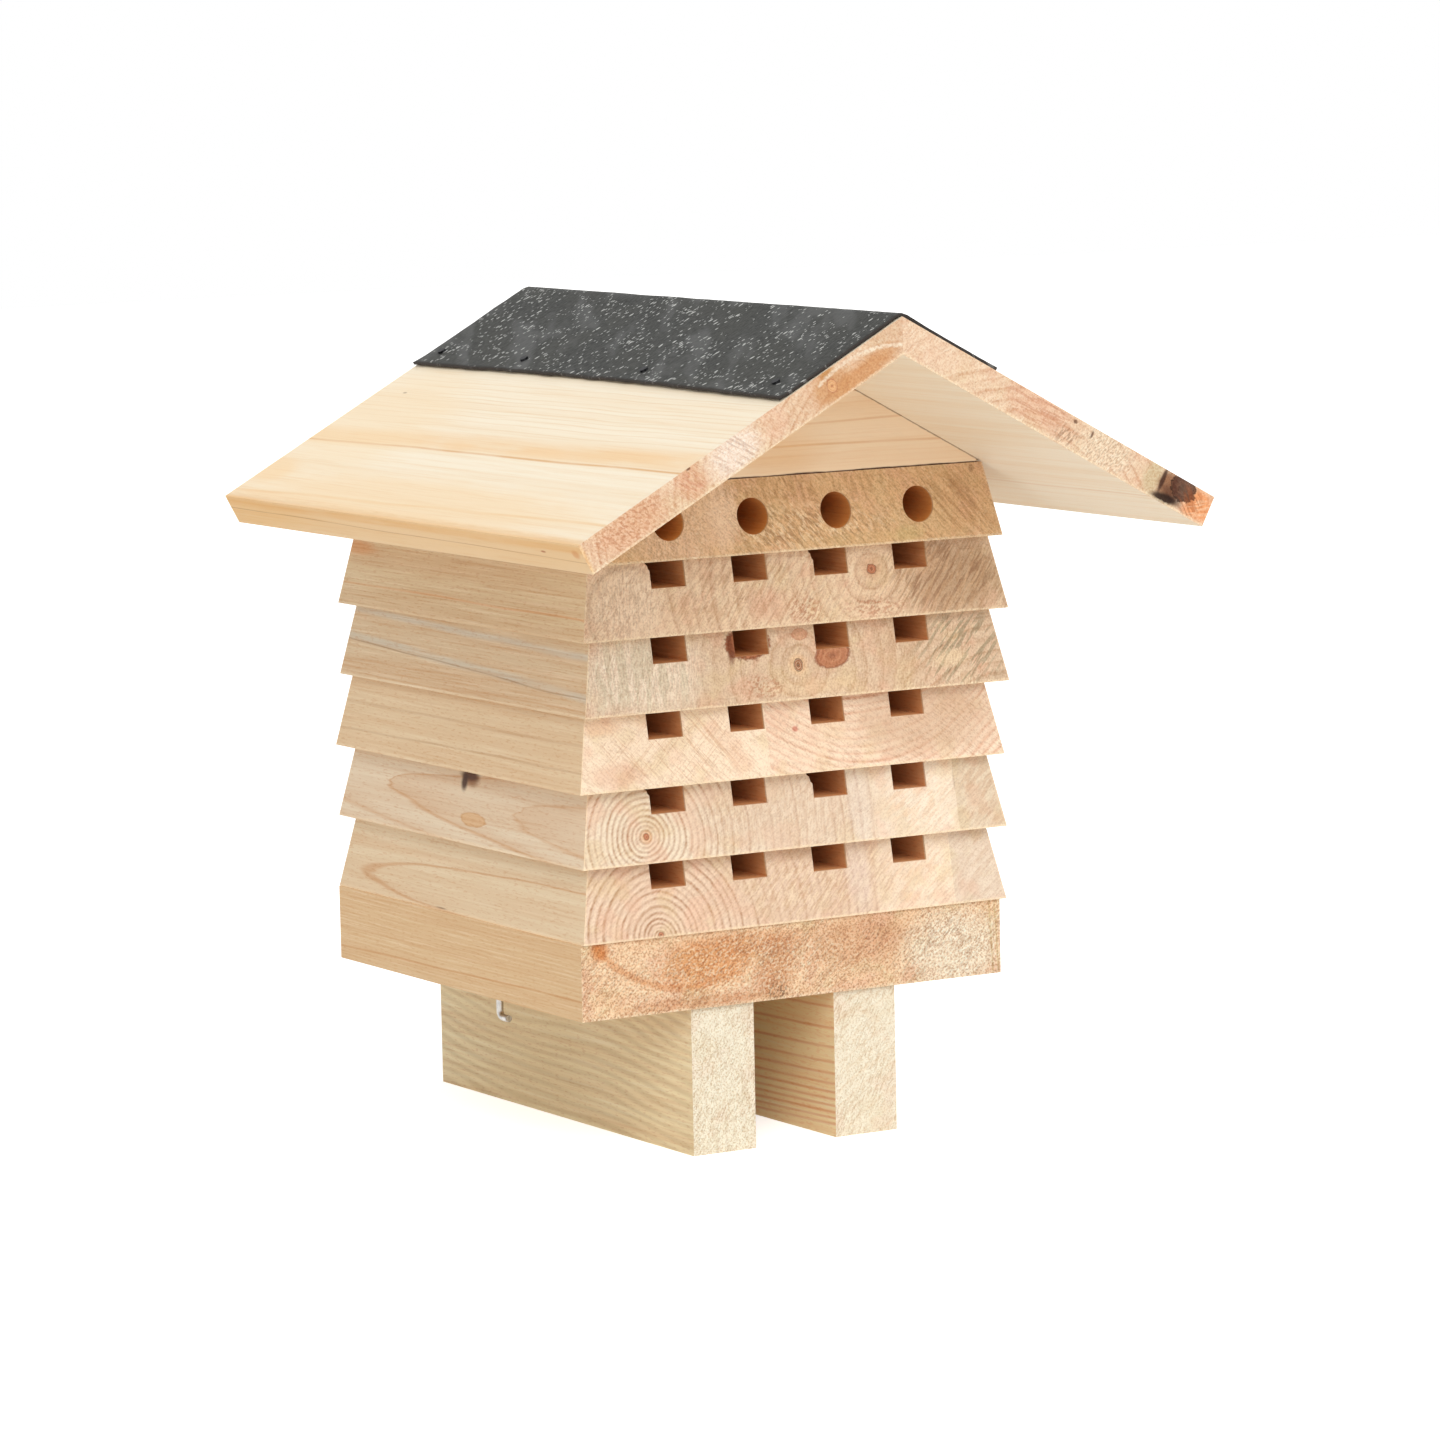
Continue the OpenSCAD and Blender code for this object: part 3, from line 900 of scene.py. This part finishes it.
def dress_base():
    """Granular, with orange stains on the left half of its end and pale at the right."""
    node = "base_block"
    half = half_sizes(node)
    yellow = (206, 170, 112)
    marks = [
        Patch((-28, 2), (18, 9), (228, 152, 90), 0.75),
        Patch((-14, 6), (22, 4), (216, 144, 90), 0.6),
        Patch((-6.5, -2.3), (8, 11), (212, 146, 100), 0.7, turn=-20),
        Patch((20, 3), (24, 9), (222, 164, 122), 0.6),
        Patch((-30, -8.5), (26, 2.5), (216, 150, 104), 0.6),
        Patch((52, -2), (20, 14), (255, 236, 208), 0.9),
        Strokes((48, 0), (20, 12), 35, (1.6, 0.5), (196, 150, 104), 0.35, 0.55),
        Strokes((-5.4, -8), (4, 3), 60, (1.2, 0.7), (104, 70, 42), 0.7, 0.51),
        Strokes((-20, 0), (50, 12), 28, (1.0, 0.7), (255, 236, 204), 0.45, 0.53),
        Arc((-34.4, 33), 37.1, 1.6, (224, 144, 82), 0.5, past=(-40, -8)),
        Patch((-62, 8.5), (3.5, 3.5), (224, 140, 76), 0.8),
        Vein((-66, -5.9, 0), (0, 1, 0.0142), 0.5, (206, 150, 96), 0.7, BASE_LEFT),
        Vein((64.5, 0), (1, 0.06), 0.5, yellow, 0.6, wander=0.5),
        Vein((66.3, 0), (1, 0.06), 0.4, yellow, 0.6, wander=0.5),
        Rim((0, -1, 0), half.z, width=0.9, strength=0.4),
        Rim((1, 0, 0), half.x, strength=0.3),
        Rim((-1, 0, 0), half.x, strength=0.45),
    ]
    grade = Grade(long=(227, 194, 150), end=(253, 213, 172), ring=(214, 154, 104),
                  fibre=(172, 108, 64), tuft=(255, 234, 200))
    pine = Wood("base_pine", level_board(node), grade, [Strip(pith=(-34, 33), ring=9.0)], marks,
                slant=40, rings=0.15, tail=0.2, fibres=0.34, tufts=0.44, specks=0.52, blotch=0.4, lines=0.2,
                streaks=0.3, seed=7)
    give(node, pine.owner, 0.35)


def dress_legs():
    """The legs' end grain is granular, and their sides show slanting lines."""
    outer = (188, 162, 116)
    seam_and_bounce_light = (222, 134, 84)
    cream = Grade(long=(246, 229, 188), end=(255, 247, 225), ring=(222, 190, 146), fibre=(198, 164, 116),
                  tuft=(255, 250, 232))
    # Its veins are redder than the wood's own, partly to paint in warm light bounced between the legs
    rust = Grade(long=(255, 232, 186), end=(250, 241, 219), vein=(240, 178, 118), ring=(222, 184, 136),
                 fibre=(200, 164, 118), tuft=(255, 248, 228))
    ripples = [Ripples(0.07, 1.7, 105, 5, 3.1, 0.42, outer, 0.34, LEG_LEFT),
               Patch((0, -10, 20), (30, 3, 40), (226, 204, 158), 0.25)]
    # Lines on the right leg's inner face: the wood's seams, made redder as painted warm bounce light
    seams = [Vein((low, -9.9, 0), (1, 0, 0.03), 0.6, seam_and_bounce_light, 0.5, LEG_LEFT, wander=0.6)
             for low in (-19, -17.3, -15.6, -13.8, -12, -10, -7.6, -4.8, -1.6, 2.6, 8, 14)]
    for node, grade, pith, marks, rings, seed, specks in (
            ("leg_left", cream, (30, 150), ripples, 0.12, 8, 0.5),
            ("leg_right", rust, (-110, 60), seams, 0.3, 9, 0.35)):
        board = Board(Z, X, Y, centre(node), -half_sizes(node).y)
        pine = Wood(node + "_pine", board, grade, [Strip(pith=pith, ring=3.4)], marks, slant=30, rings=rings,
                    tail=0.1, fibres=0.35, tufts=0.4, specks=specks, blotch=0.15, lines=0.15, seed=seed)
        give(node, pine.owner, 0.4)


def dress_gables():
    """The gables' grain runs across, with a few orange lines near their foot, and painted shade along the
    joints at their foot and under the right roof board.
    """
    grade = Grade(long=(252, 226, 194), end=(240, 206, 164), vein=(236, 190, 140))
    off_slope = (math.cos(ROOF_PITCH), 0, math.sin(ROOF_PITCH))
    for seed, node in ((10, "gable_front"), (11, "gable_back")):
        half = half_sizes(node)
        marks = [
            *(Vein((low, 0, 0), (1, 0, fall), 0.5, (222, 168, 112), 0.55, wander=1.0)
              for low, fall in ((-10, 0.012), (-4.5, -0.02), (5, 0.03))),
            Patch((-11, 0, 0), (9, 9, 22), (240, 192, 138), 0.5),
            # Painted shade along the gap under the right roof board
            Rim(off_slope, half.z * off_slope[0], 0.5, 0.65, colour=(110, 74, 46), on_end=False),
            # Painted shade along the gap at the gable's foot, on the block
            Rim((-1, 0, 0), half.z, 0.6, 1.0, colour=(64, 36, 22), on_end=False),
        ]
        pine = Wood(node + "_pine", Board(Z, Y, X, centre(node), -half.x), grade,
                    [Strip(pith=(-30, 70), ring=5.0)], marks, slant=20, lines=0.25, dashes=0.02, seed=seed)
        give(node, pine.owner, 0.5)


def dress_roof():
    """Two pale boards. The right one ends in a black knot."""
    orange = (226, 176, 118)
    warm = (248, 212, 164)
    grade = Grade(long=(254, 242, 219), end=(242, 212, 180), vein=(240, 206, 158),
                  ring=(208, 152, 114), fibre=(196, 140, 100), tuft=(255, 242, 218))
    left = [
        Vein((76.5, 0, -30), (1, 0, -0.03), 6.5, warm, 0.85, ROOF_TOP, wander=1.0),
        *(Vein((down, 0, -30), (1, 0, -0.02), 0.4, (236, 208, 166), 0.42, ROOF_TOP, wander=1.4)
          for down in (47.5, 50, 53.4, 55.2, 57, 60, 61.6, 63.6, 66, 69)),
        Vein((80.6, 0, -30), (1, 0, -0.018), 0.7, orange, 0.85, ROOF_TOP, wander=0.8),
        Vein((107.5, 0, -10), (1, 0, -0.029), 0.9, (240, 202, 148), 0.7, ROOF_TOP),
        Vein((112.5, 0, -90), (1, 0, 0.01), 3.0, warm, 0.6, ROOF_TOP),
        Patch((104, 0, -30), (13, 3, 130), (250, 220, 176), 0.6),
        Patch((56.3, 0, 56.1), (0.5, 2, 1.4), BARK, 0.8, ragged=0.2),
        Patch((98, 0, 68), (9, 3, 16), (250, 210, 154), 0.5),
        Patch((72, 0, 50), (34, 3, 46), (252, 228, 190), 0.5),
        Rim((1, 0, 0), ROOF_REACH, width=3, strength=0.3, colour=(226, 182, 122), on_end=False),
        Patch((114, -4.5, -30), (1.5, 8, 400), (246, 200, 136), 0.6, ragged=0.2),
        Patch((114, -4.5, 70), (1.5, 8, 60), (240, 190, 118), 0.45, ragged=0.2),
        Vein((0, -1.5, 0), (0, 1, 0), 2.0, (238, 184, 114), 0.6, EAVE_EDGE),
        Vein((0, -4.4, 0), (0, 1, -0.009), 0.24, (176, 126, 76), 0.5, EAVE_EDGE, wander=0.5),
        Patch((ROOF_REACH, -3.6, -109.5), (2, 0.4, 1.6), RUST, 0.8, ragged=0.2),
        Patch((ROOF_REACH, -3.0, -127), (2, 1.6, 2.4), AMBER, 0.7),
        Patch((6, -3), (12, 8), (222, 182, 148), 0.5),
        Patch((30, -4), (24, 8), (218, 172, 132), 0.28),
        Patch((17, -6.6), (14, 4.2), (214, 154, 102), 0.85, turn=-4),
        Patch((28, -4.8), (8, 6), (212, 154, 102), 0.75),
        Patch((27.5, -0.8), (3.6, 1.8), (200, 142, 80), 0.8),
        Arc((22, -36), 34.8, 0.8, (255, 238, 212), 0.6, past=(31, 32)),
        Knot((27.8, -4.5), (1.5, 1.9, 30), (232, 176, 124), RUST, (246, 206, 160), torn=0.3),
        Patch((48, -3), (6, 6), (240, 196, 166), 0.5),
        Patch((62, -4), (11, 7), (252, 234, 216), 0.8),
        Strokes((61, -4), (9, 7), 57, (10, 0.6), (190, 154, 134), 0.45, 0.54),
        Patch((77, -4), (6, 6), (228, 164, 126), 0.45),
        Strokes((77, -4), (6, 6), 60, (4, 0.7), (196, 116, 88), 0.35, 0.52),
        Patch((76.0, -0.3), (0.9, 0.4, 1.2), BARK, 0.8, ragged=0.2),
        Patch((98, -4), (16, 7), (232, 180, 142), 0.6),
        Strokes((98, -4), (17, 7), 40, (1.3, 0.8), (200, 134, 96), 0.55, 0.52),
    ]
    right = [
        Patch((12, -4), (18, 7), (244, 212, 182), 0.5),
        Patch((50, -3.5), (16, 6), (236, 186, 154), 0.45, ragged=0.9),
        Strokes((50, -3), (14, 6), 2, (7, 0.6), (200, 132, 98), 0.45, 0.52),
        Strokes((62, -6), (5, 4), 70, (2.6, 0.5), (150, 104, 74), 0.55, 0.51),
        Patch((75, -4), (11, 7), (248, 226, 196), 0.75),
        Strokes((75, -4), (12, 7), 70, (1.2, 0.45), (166, 126, 90), 0.4, 0.53),
        Patch((62.8, -1.2), (0.9, 0.7, 2), BARK, 0.8, ragged=0.3),
        Patch((69.3, -2.0), (0.5, 1.4, 2), BARK, 0.8, ragged=0.3),
        Patch((92.5, -4), (4, 7), (212, 190, 150), 0.8),
        Patch((110, -4.5), (6.5, 6, 12), (242, 156, 96), 0.85),
        Strokes((110, -4.5), (7, 6, 12), 30, (5, 0.9), (255, 208, 166), 0.6, 0.53),
        Patch((98.8, -3.8), (4.6, 5.4, 9), (142, 92, 58), 0.9),
        Patch((100.6, -5.4), (4.6, 2.6, 9), (92, 54, 38), 0.7, turn=-12),
        Knot((103.2, -2.4), (4.4, 3.4, 9), (80, 44, 31), (42, 22, 12), (118, 78, 58), turn=-10, torn=0.8),
        Patch((98.6, -7.4), (6.0, 1.8, 9), (40, 20, 12), 0.95, turn=8),
        Patch((96.0, -3), (0.9, 4.6, 9), (70, 40, 28), 0.9, ragged=0.3),
        Strokes((107, -5), (5, 6, 12), -38, (5, 0.6), (160, 88, 48), 0.4, 0.55),
        Vein((94, -8.9, 0), (1, 0, 0), 0.8, (226, 182, 132), 0.4, ROOF_UNDER),
    ]
    for side, node, pith, ring, marks, slant, seed in (
            (-1, "roof_left", (22, -36), 2.2, left, 60, 12),
            (1, "roof_right", (60, -46), 3.0, right, 70, 13)):
        marks.append(Rim((0, -1, 0), ROOF_THICK, width=0.9, strength=0.5))
        pine = Wood(node + "_pine", roof_board(side), grade, [Strip(pith=pith, ring=ring)], marks,
                    slant=slant, rings=0.7, tail=0.3, fibres=0.18, tufts=0.25, specks=0.28, blotch=0.25,
                    lines=0.12, dashes=0.0, seed=seed)
        give(node, pine.owner, 0.3)


def chip_shade(node, edge, width, height):
    """Painted shade inside a chip, a little way in from the front."""
    inward = 2.4
    through = half_sizes(node).z - height / 2
    place = (edge - width / 2, through, layer_face(node, through) + inward)
    return Patch(place, (width, height, 2.0), (112, 66, 38), 0.85, ragged=0.2)


def break_out(node, edge, width, height):
    """Cuts a chip out of a nest's upper left corner. edge is the nest's left side across the layer.

    The cutter starts before the wood and outside the corner, and is a good deal smaller at its end.
    """
    before = 1.0
    outside = 0.8
    above = 1.5
    depth = 4.5
    taper = 0.35
    outline = ((outside, above), (-width, above), (-0.9 * width, -0.3 * height),
               (-0.45 * width, -0.45 * height), (-0.3 * width, -0.85 * height), (0.0, -height),
               (outside, -height))
    middle = centre(node)
    top = half_sizes(node).z
    mesh = bmesh.new()
    rings = []
    for inward, share in ((-before, 1.0), (depth, taper)):
        ring = []
        for across, up in outline:
            x = edge + (across if across > 0 else across * share)
            through = top + (up if up > 0 else up * share)
            offset = Vector((x, layer_face(node, through) + inward, through))
            ring.append(mesh.verts.new(middle + offset * MM))
        rings.append(ring)
    near, far = rings
    count = len(outline)
    for i in range(count):
        mesh.faces.new((near[i], far[i], far[(i + 1) % count], near[(i + 1) % count]))
    mesh.faces.new(near)
    mesh.faces.new(far[::-1])
    bmesh.ops.recalc_face_normals(mesh, faces=mesh.faces)
    splinter = link_mesh("splinter", mesh)
    splinter.hide_render = True
    splinter.hide_viewport = True
    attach(splinter, node)
    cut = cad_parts[node].modifiers.new("chip", "BOOLEAN")
    cut.object = splinter
    cut.operation = "DIFFERENCE"
    cut.solver = "EXACT"


def metal(name, dull, bright, smooth, rough, size):
    """Metal between two colours and two roughnesses, in lumps of size millimetres."""
    nodes = Nodes(bpy.data.materials.new(name))
    place = nodes.surface("Object") * (1 / MM, 1 / MM, 1 / MM)
    grain = place.noise((size, size, size * 3), detail=3.0)
    colour = nodes.mix(grain.step(0.35, 0.65), dull, bright)
    return nodes.finish(colour, grain.step(0.3, 0.7, smooth, rough), grain, depth=0.04, metallic=1.0)


def dress_metal():
    """The pins' wire, the plated screws and roof nails, and the dark felt nails."""
    wire = metal("galvanised_wire", (172, 170, 166), (214, 211, 206), 0.25, 0.45, 1.2)
    plated = metal("zinc_plate", (190, 184, 160), (220, 212, 184), 0.25, 0.4, 0.9)
    dark = metal("dark_nail", (26, 26, 28), (74, 74, 76), 0.4, 0.65, 0.5)
    make_pin("left", wire)
    make_pin("right", wire)
    for node in ("leg_screws", "gable_screws", "roof_nails"):
        give(node, plated)
    for node in ("felt_nails_left", "felt_nails_right"):
        give(node, dark)


def make_pin(side, wire):
    """A pin whose foot points to the front, as in the photograph, and not slantwise under the leg."""
    low, high = (Vector(corner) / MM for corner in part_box("pin_" + side))
    radius = 1.0
    bend = 1.8
    foot = 5.0
    x = low.x + radius if side == "left" else high.x - radius
    y = high.y - radius
    z = low.z + radius
    points = [Vector((x, y, high.z)), Vector((x, y, (z + high.z) / 2))]
    for turn in range(0, 91, 15):
        angle = math.radians(turn)
        points.append(Vector((x, y - bend + bend * math.cos(angle), z + bend - bend * math.sin(angle))))
    points.append(Vector((x, y - foot, z)))
    data = bpy.data.curves.new("pin", "CURVE")
    data.dimensions = "3D"
    data.bevel_depth = radius * MM
    data.bevel_resolution = 6
    data.use_fill_caps = True
    spline = data.splines.new("POLY")
    spline.points.add(len(points) - 1)
    for place, point in zip(spline.points, points):
        place.co = (*(point * MM), 1.0)
    pin = link(f"bent_pin_{side}", data)
    data.materials.append(wire)
    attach(pin, "pin_" + side)
    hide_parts("pin_" + side)


def felt_material():
    """Black bitumen felt: soft grey mottling, a paler sweep, and pale mineral specks in drifts."""
    nodes = Nodes(bpy.data.materials.new("bitumen_felt"))
    board = roof_board(-1)
    offset = nodes.surface("Object") - board.origin
    place = nodes.combine(offset.dot(board.across / MM), offset.dot(Y / MM), 0.0)
    fine = place.noise((1.8, 0.7, 1), turn=14, seed=1, rough=0.6)
    broad = place.noise((16, 30, 1), seed=2, detail=3.0)
    sweep = place.noise((26, 9, 1), turn=-58, seed=3)
    drift = place.noise((9, 14, 1), seed=4)
    colour = nodes.mix(fine.step(0.36, 0.64), (31, 32, 30), (66, 67, 64))
    colour = nodes.mix(broad.step(0.4, 0.6, 0.0, 0.3), colour, (60, 60, 54))
    colour = nodes.mix(sweep.step(0.5, 0.68, 0.0, 0.4), colour, (108, 109, 109))
    small = flecks(nodes, place, drift, cell=0.9, fewest=1.22)
    large = flecks(nodes, place, drift, cell=1.5, fewest=1.3)
    specks = small.by("MAXIMUM", large)
    colour = nodes.mix(specks * 0.85, colour, (226, 228, 224))
    # The sheet's cut sides, where its surface doesn't face up, are painted dark brown: partly the felt's own
    # cut edge, partly painted shade.
    upright = nodes.surface("Normal").parts()[2]
    colour = nodes.mix(upright.step(0.5, 0.75, 0.85, 0.0), colour, (40, 30, 24))
    return nodes.finish(colour, nodes.blend(specks, 0.75, 0.5), specks * 0.3 + fine, depth=0.2)


def flecks(nodes, place, drift, cell, fewest):
    """Small crisp dots, one at most in each cell of so many millimetres, and more where drift is high."""
    spread = place.local((cell * 13.1, cell * 7.7, 0), 12, (cell * 2.0, cell * 0.8, 1))
    dots = nodes.add("TexVoronoi", {"Vector": spread, "Scale": 1.0}, voronoi_dimensions="2D").outputs
    size, chance, _ = Value(nodes, dots["Color"]).parts("Color")
    radius = size.step(0.0, 1.0, 0.13, 0.34)
    inside = (Value(nodes, dots["Distance"]) / radius).step(0.6, 1.0, 1.0, 0.0)
    return inside * (drift * 0.8 + chance > fewest)


def nail_places(node):
    """The middle of each nail in a group that lies along the roof, by its place along Y."""
    apart = 5 * MM
    points = sorted((vertex.co.copy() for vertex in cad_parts[node].data.vertices), key=lambda p: p.y)
    groups = [[points[0]]]
    for point in points[1:]:
        if point.y - groups[-1][-1].y > apart:
            groups.append([])
        groups[-1].append(point)
    return [sum(group, Vector()) / len(group) for group in groups]


def make_felt():
    """The felt strip as a thin wavy sheet, pressed down at its nails, with cut edges that wander."""
    pitch = ROOF_PITCH
    thick = 0.8 * MM
    step = 1.6 * MM
    fold = 1.0 * MM
    dimple = 3.2 * MM
    curl_left = 5 * MM
    curl_right = 6 * MM
    felt_low, felt_high = (Vector(corner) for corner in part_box("felt"))
    left = -felt_low.x / math.cos(pitch)
    right = felt_high.x / math.cos(pitch)
    length = felt_high.y - felt_low.y
    nails = nail_places("felt_nails_left") + nail_places("felt_nails_right")

    def wave(point, size, seed):
        """Noise from about -1 to 1 whose waves measure size millimetres."""
        return noise.noise(Vector((point[0], point[1], seed)) / (size * MM))

    def lift(s, y):
        """How far the sheet stands off the boards: less near a nail, and more near its edges."""
        loose = 0.3 + 0.22 * wave((s, y), 16, 3.0) + 0.1 * wave((s, y), 5, 8.0)
        inside = (right - s) / curl_right if s > 0 else (s + left) / curl_left
        curl = 0.35 * (1 - min(1.0, inside))
        pressed = 1.0
        for nail in nails:
            away = math.hypot(math.copysign(math.hypot(nail.x, nail.z - RIDGE_Z), nail.x) - s, nail.y - y)
            pressed = min(pressed, 1 - math.exp(-(away / dimple) ** 2))
        tight = 0.3 if s > 0 else 1.0
        return max(0.03, (loose + curl) * pressed * tight) * MM

    def place(s, y, height):
        """A point over the roof, s down the right slope from the ridge, or minus s down the left one."""
        reach = math.hypot(s, fold)
        drop = reach - fold / (1 + 0.08 * (s / fold) ** 2)
        turn = s / reach
        out = Vector((turn * math.sin(pitch), 0, math.cos(pitch) + (1 - math.cos(pitch)) * (1 - abs(turn))))
        base = Vector((s * math.cos(pitch), y, RIDGE_Z - drop * math.sin(pitch)))
        return base + out.normalized() * height

    columns = round((left + right) / step)
    rows = round(length / step)

    def sheet_point(i, j):
        """Where a point of the grid lies in the felt: how far down the slope, and along."""
        t = i / rows
        along = felt_low.y + t * length
        bow = 1.3 * (1 - (2 * t - 1) ** 2)
        worn_left = (bow + 0.35 * wave((along, 0), 7, 11.0)) * MM
        worn_right = (0.3 * wave((along, 0), 9, 15.0) + 0.2) * MM
        start = max(0.1 * MM, worn_left + 0.2 * MM) - left
        s = min(start + j / columns * (left + right - worn_left - worn_right), right)
        if i in (0, rows):
            along += (1 - 2 * t) * abs(0.3 * MM * wave((s, 0), 6, 21.0 + 9 * round(t)))
        return s, along

    mesh = bmesh.new()
    layers = []
    for side in (0, 1):
        grid = []
        for i in range(rows + 1):
            points = [sheet_point(i, j) for j in range(columns + 1)]
            grid.append([mesh.verts.new(place(s, y, lift(s, y) + side * thick)) for s, y in points])
        layers.append(grid)
    for side, grid in enumerate(layers):
        for low, high in zip(grid, grid[1:]):
            for j in range(columns):
                corners = [low[j], low[j + 1], high[j + 1], high[j]]
                mesh.faces.new(corners if side else corners[::-1])
    under, over = layers
    outline = [(0, j) for j in range(columns)] + [(i, columns) for i in range(rows)]
    outline += [(rows, j) for j in range(columns, 0, -1)] + [(i, 0) for i in range(rows, 0, -1)]
    for (i, j), (m, n) in zip(outline, outline[1:] + outline[:1]):
        mesh.faces.new([under[i][j], under[m][n], over[m][n], over[i][j]])
    sheet = link_mesh("felt_sheet", mesh)
    for face in sheet.data.polygons:
        face.use_smooth = True
    sheet.data.materials.append(felt_material())
    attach(sheet, "roof")
    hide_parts("felt")
    left + right


def make_floor():
    """A pale floor that is white to the eye and keeps the object's soft shadow."""
    bpy.ops.mesh.primitive_plane_add(size=8.0, location=(0, 0, 0))
    floor = bpy.context.object
    floor.name = "floor"
    nodes = Nodes(bpy.data.materials.new("pale_floor"))
    matt = nodes.add("BsdfDiffuse", {"Color": linear((242, 242, 242))}).outputs[0]
    glow = nodes.add("Emission", {"Color": (1, 1, 1, 1), "Strength": nodes.seen() * 0.6}).outputs[0]
    both = nodes.add("AddShader", {0: matt, 1: glow}).outputs[0]
    nodes.add("OutputMaterial", {"Surface": both})
    floor.data.materials.append(nodes.owner)
    floor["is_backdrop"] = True


def make_world():
    """Even studio light, and white where the camera, gloss or glass sees past the floor."""
    world = bpy.data.worlds.new("studio")
    bpy.context.scene.world = world
    nodes = Nodes(world)
    soft = nodes.add("Background", {"Color": (1.0, 0.985, 0.965, 1), "Strength": 0.65}).outputs[0]
    white = nodes.add("Background", {"Color": (1, 1, 1, 1)}).outputs[0]
    either = nodes.add("MixShader", {0: nodes.seen(), 1: soft, 2: white}).outputs[0]
    nodes.add("OutputWorld", {"Surface": either})


def make_sun(name, azimuth, elevation, strength, spread, colour=(1, 1, 1)):
    """A wide soft lamp. Azimuth 0 is straight in front, and it grows to the object's right."""
    data = bpy.data.lights.new(name, "SUN")
    data.energy = strength
    data.angle = math.radians(spread)
    data.color = colour
    turn = math.radians(azimuth)
    rise = math.radians(elevation)
    towards = Vector((math.sin(turn) * math.cos(rise), -math.cos(turn) * math.cos(rise), math.sin(rise)))
    link(name, data).rotation_euler = towards.to_track_quat("Z", "Y").to_euler()


def make_camera():
    """The camera that took the photograph."""
    yaw = math.radians(CAMERA_YAW)
    pitch = math.radians(CAMERA_PITCH)
    roll = math.radians(CAMERA_ROLL)
    forward = Vector((math.sin(yaw) * math.cos(pitch), math.cos(yaw) * math.cos(pitch), math.sin(pitch)))
    level = Vector((math.cos(yaw), -math.sin(yaw), 0))
    above = level.cross(forward)
    right = level * math.cos(roll) + above * math.sin(roll)
    up = above * math.cos(roll) - level * math.sin(roll)
    data = bpy.data.cameras.new("camera")
    data.lens = CAMERA_LENS
    data.sensor_width = 36
    data.clip_end = 20
    camera = link("camera", data)
    turn = Matrix((right, up, -forward)).transposed().to_4x4()
    camera.matrix_world = Matrix.Translation(CAMERA_PLACE) @ turn
    bpy.context.scene.camera = camera


make_camera()
make_world()
make_floor()
make_sun("key", -24, 40, 1.345, 40, (1.0, 0.985, 0.96))
make_sun("fill", 60, 25, 0.25, 60)
make_sun("low fill", -20, 6, 0.12, 60)
dress_tray_1()
dress_tray_2()
dress_tray_3()
dress_tray_4()
dress_tray_5()
dress_block()
dress_base()
dress_legs()
dress_gables()
dress_roof()
dress_metal()
make_felt()

bpy.context.scene.view_settings.view_transform = "Standard"
low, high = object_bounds()
sizes = {"cad": [list(cad_low), list(cad_high)], "visual": [list(low), list(high)]}
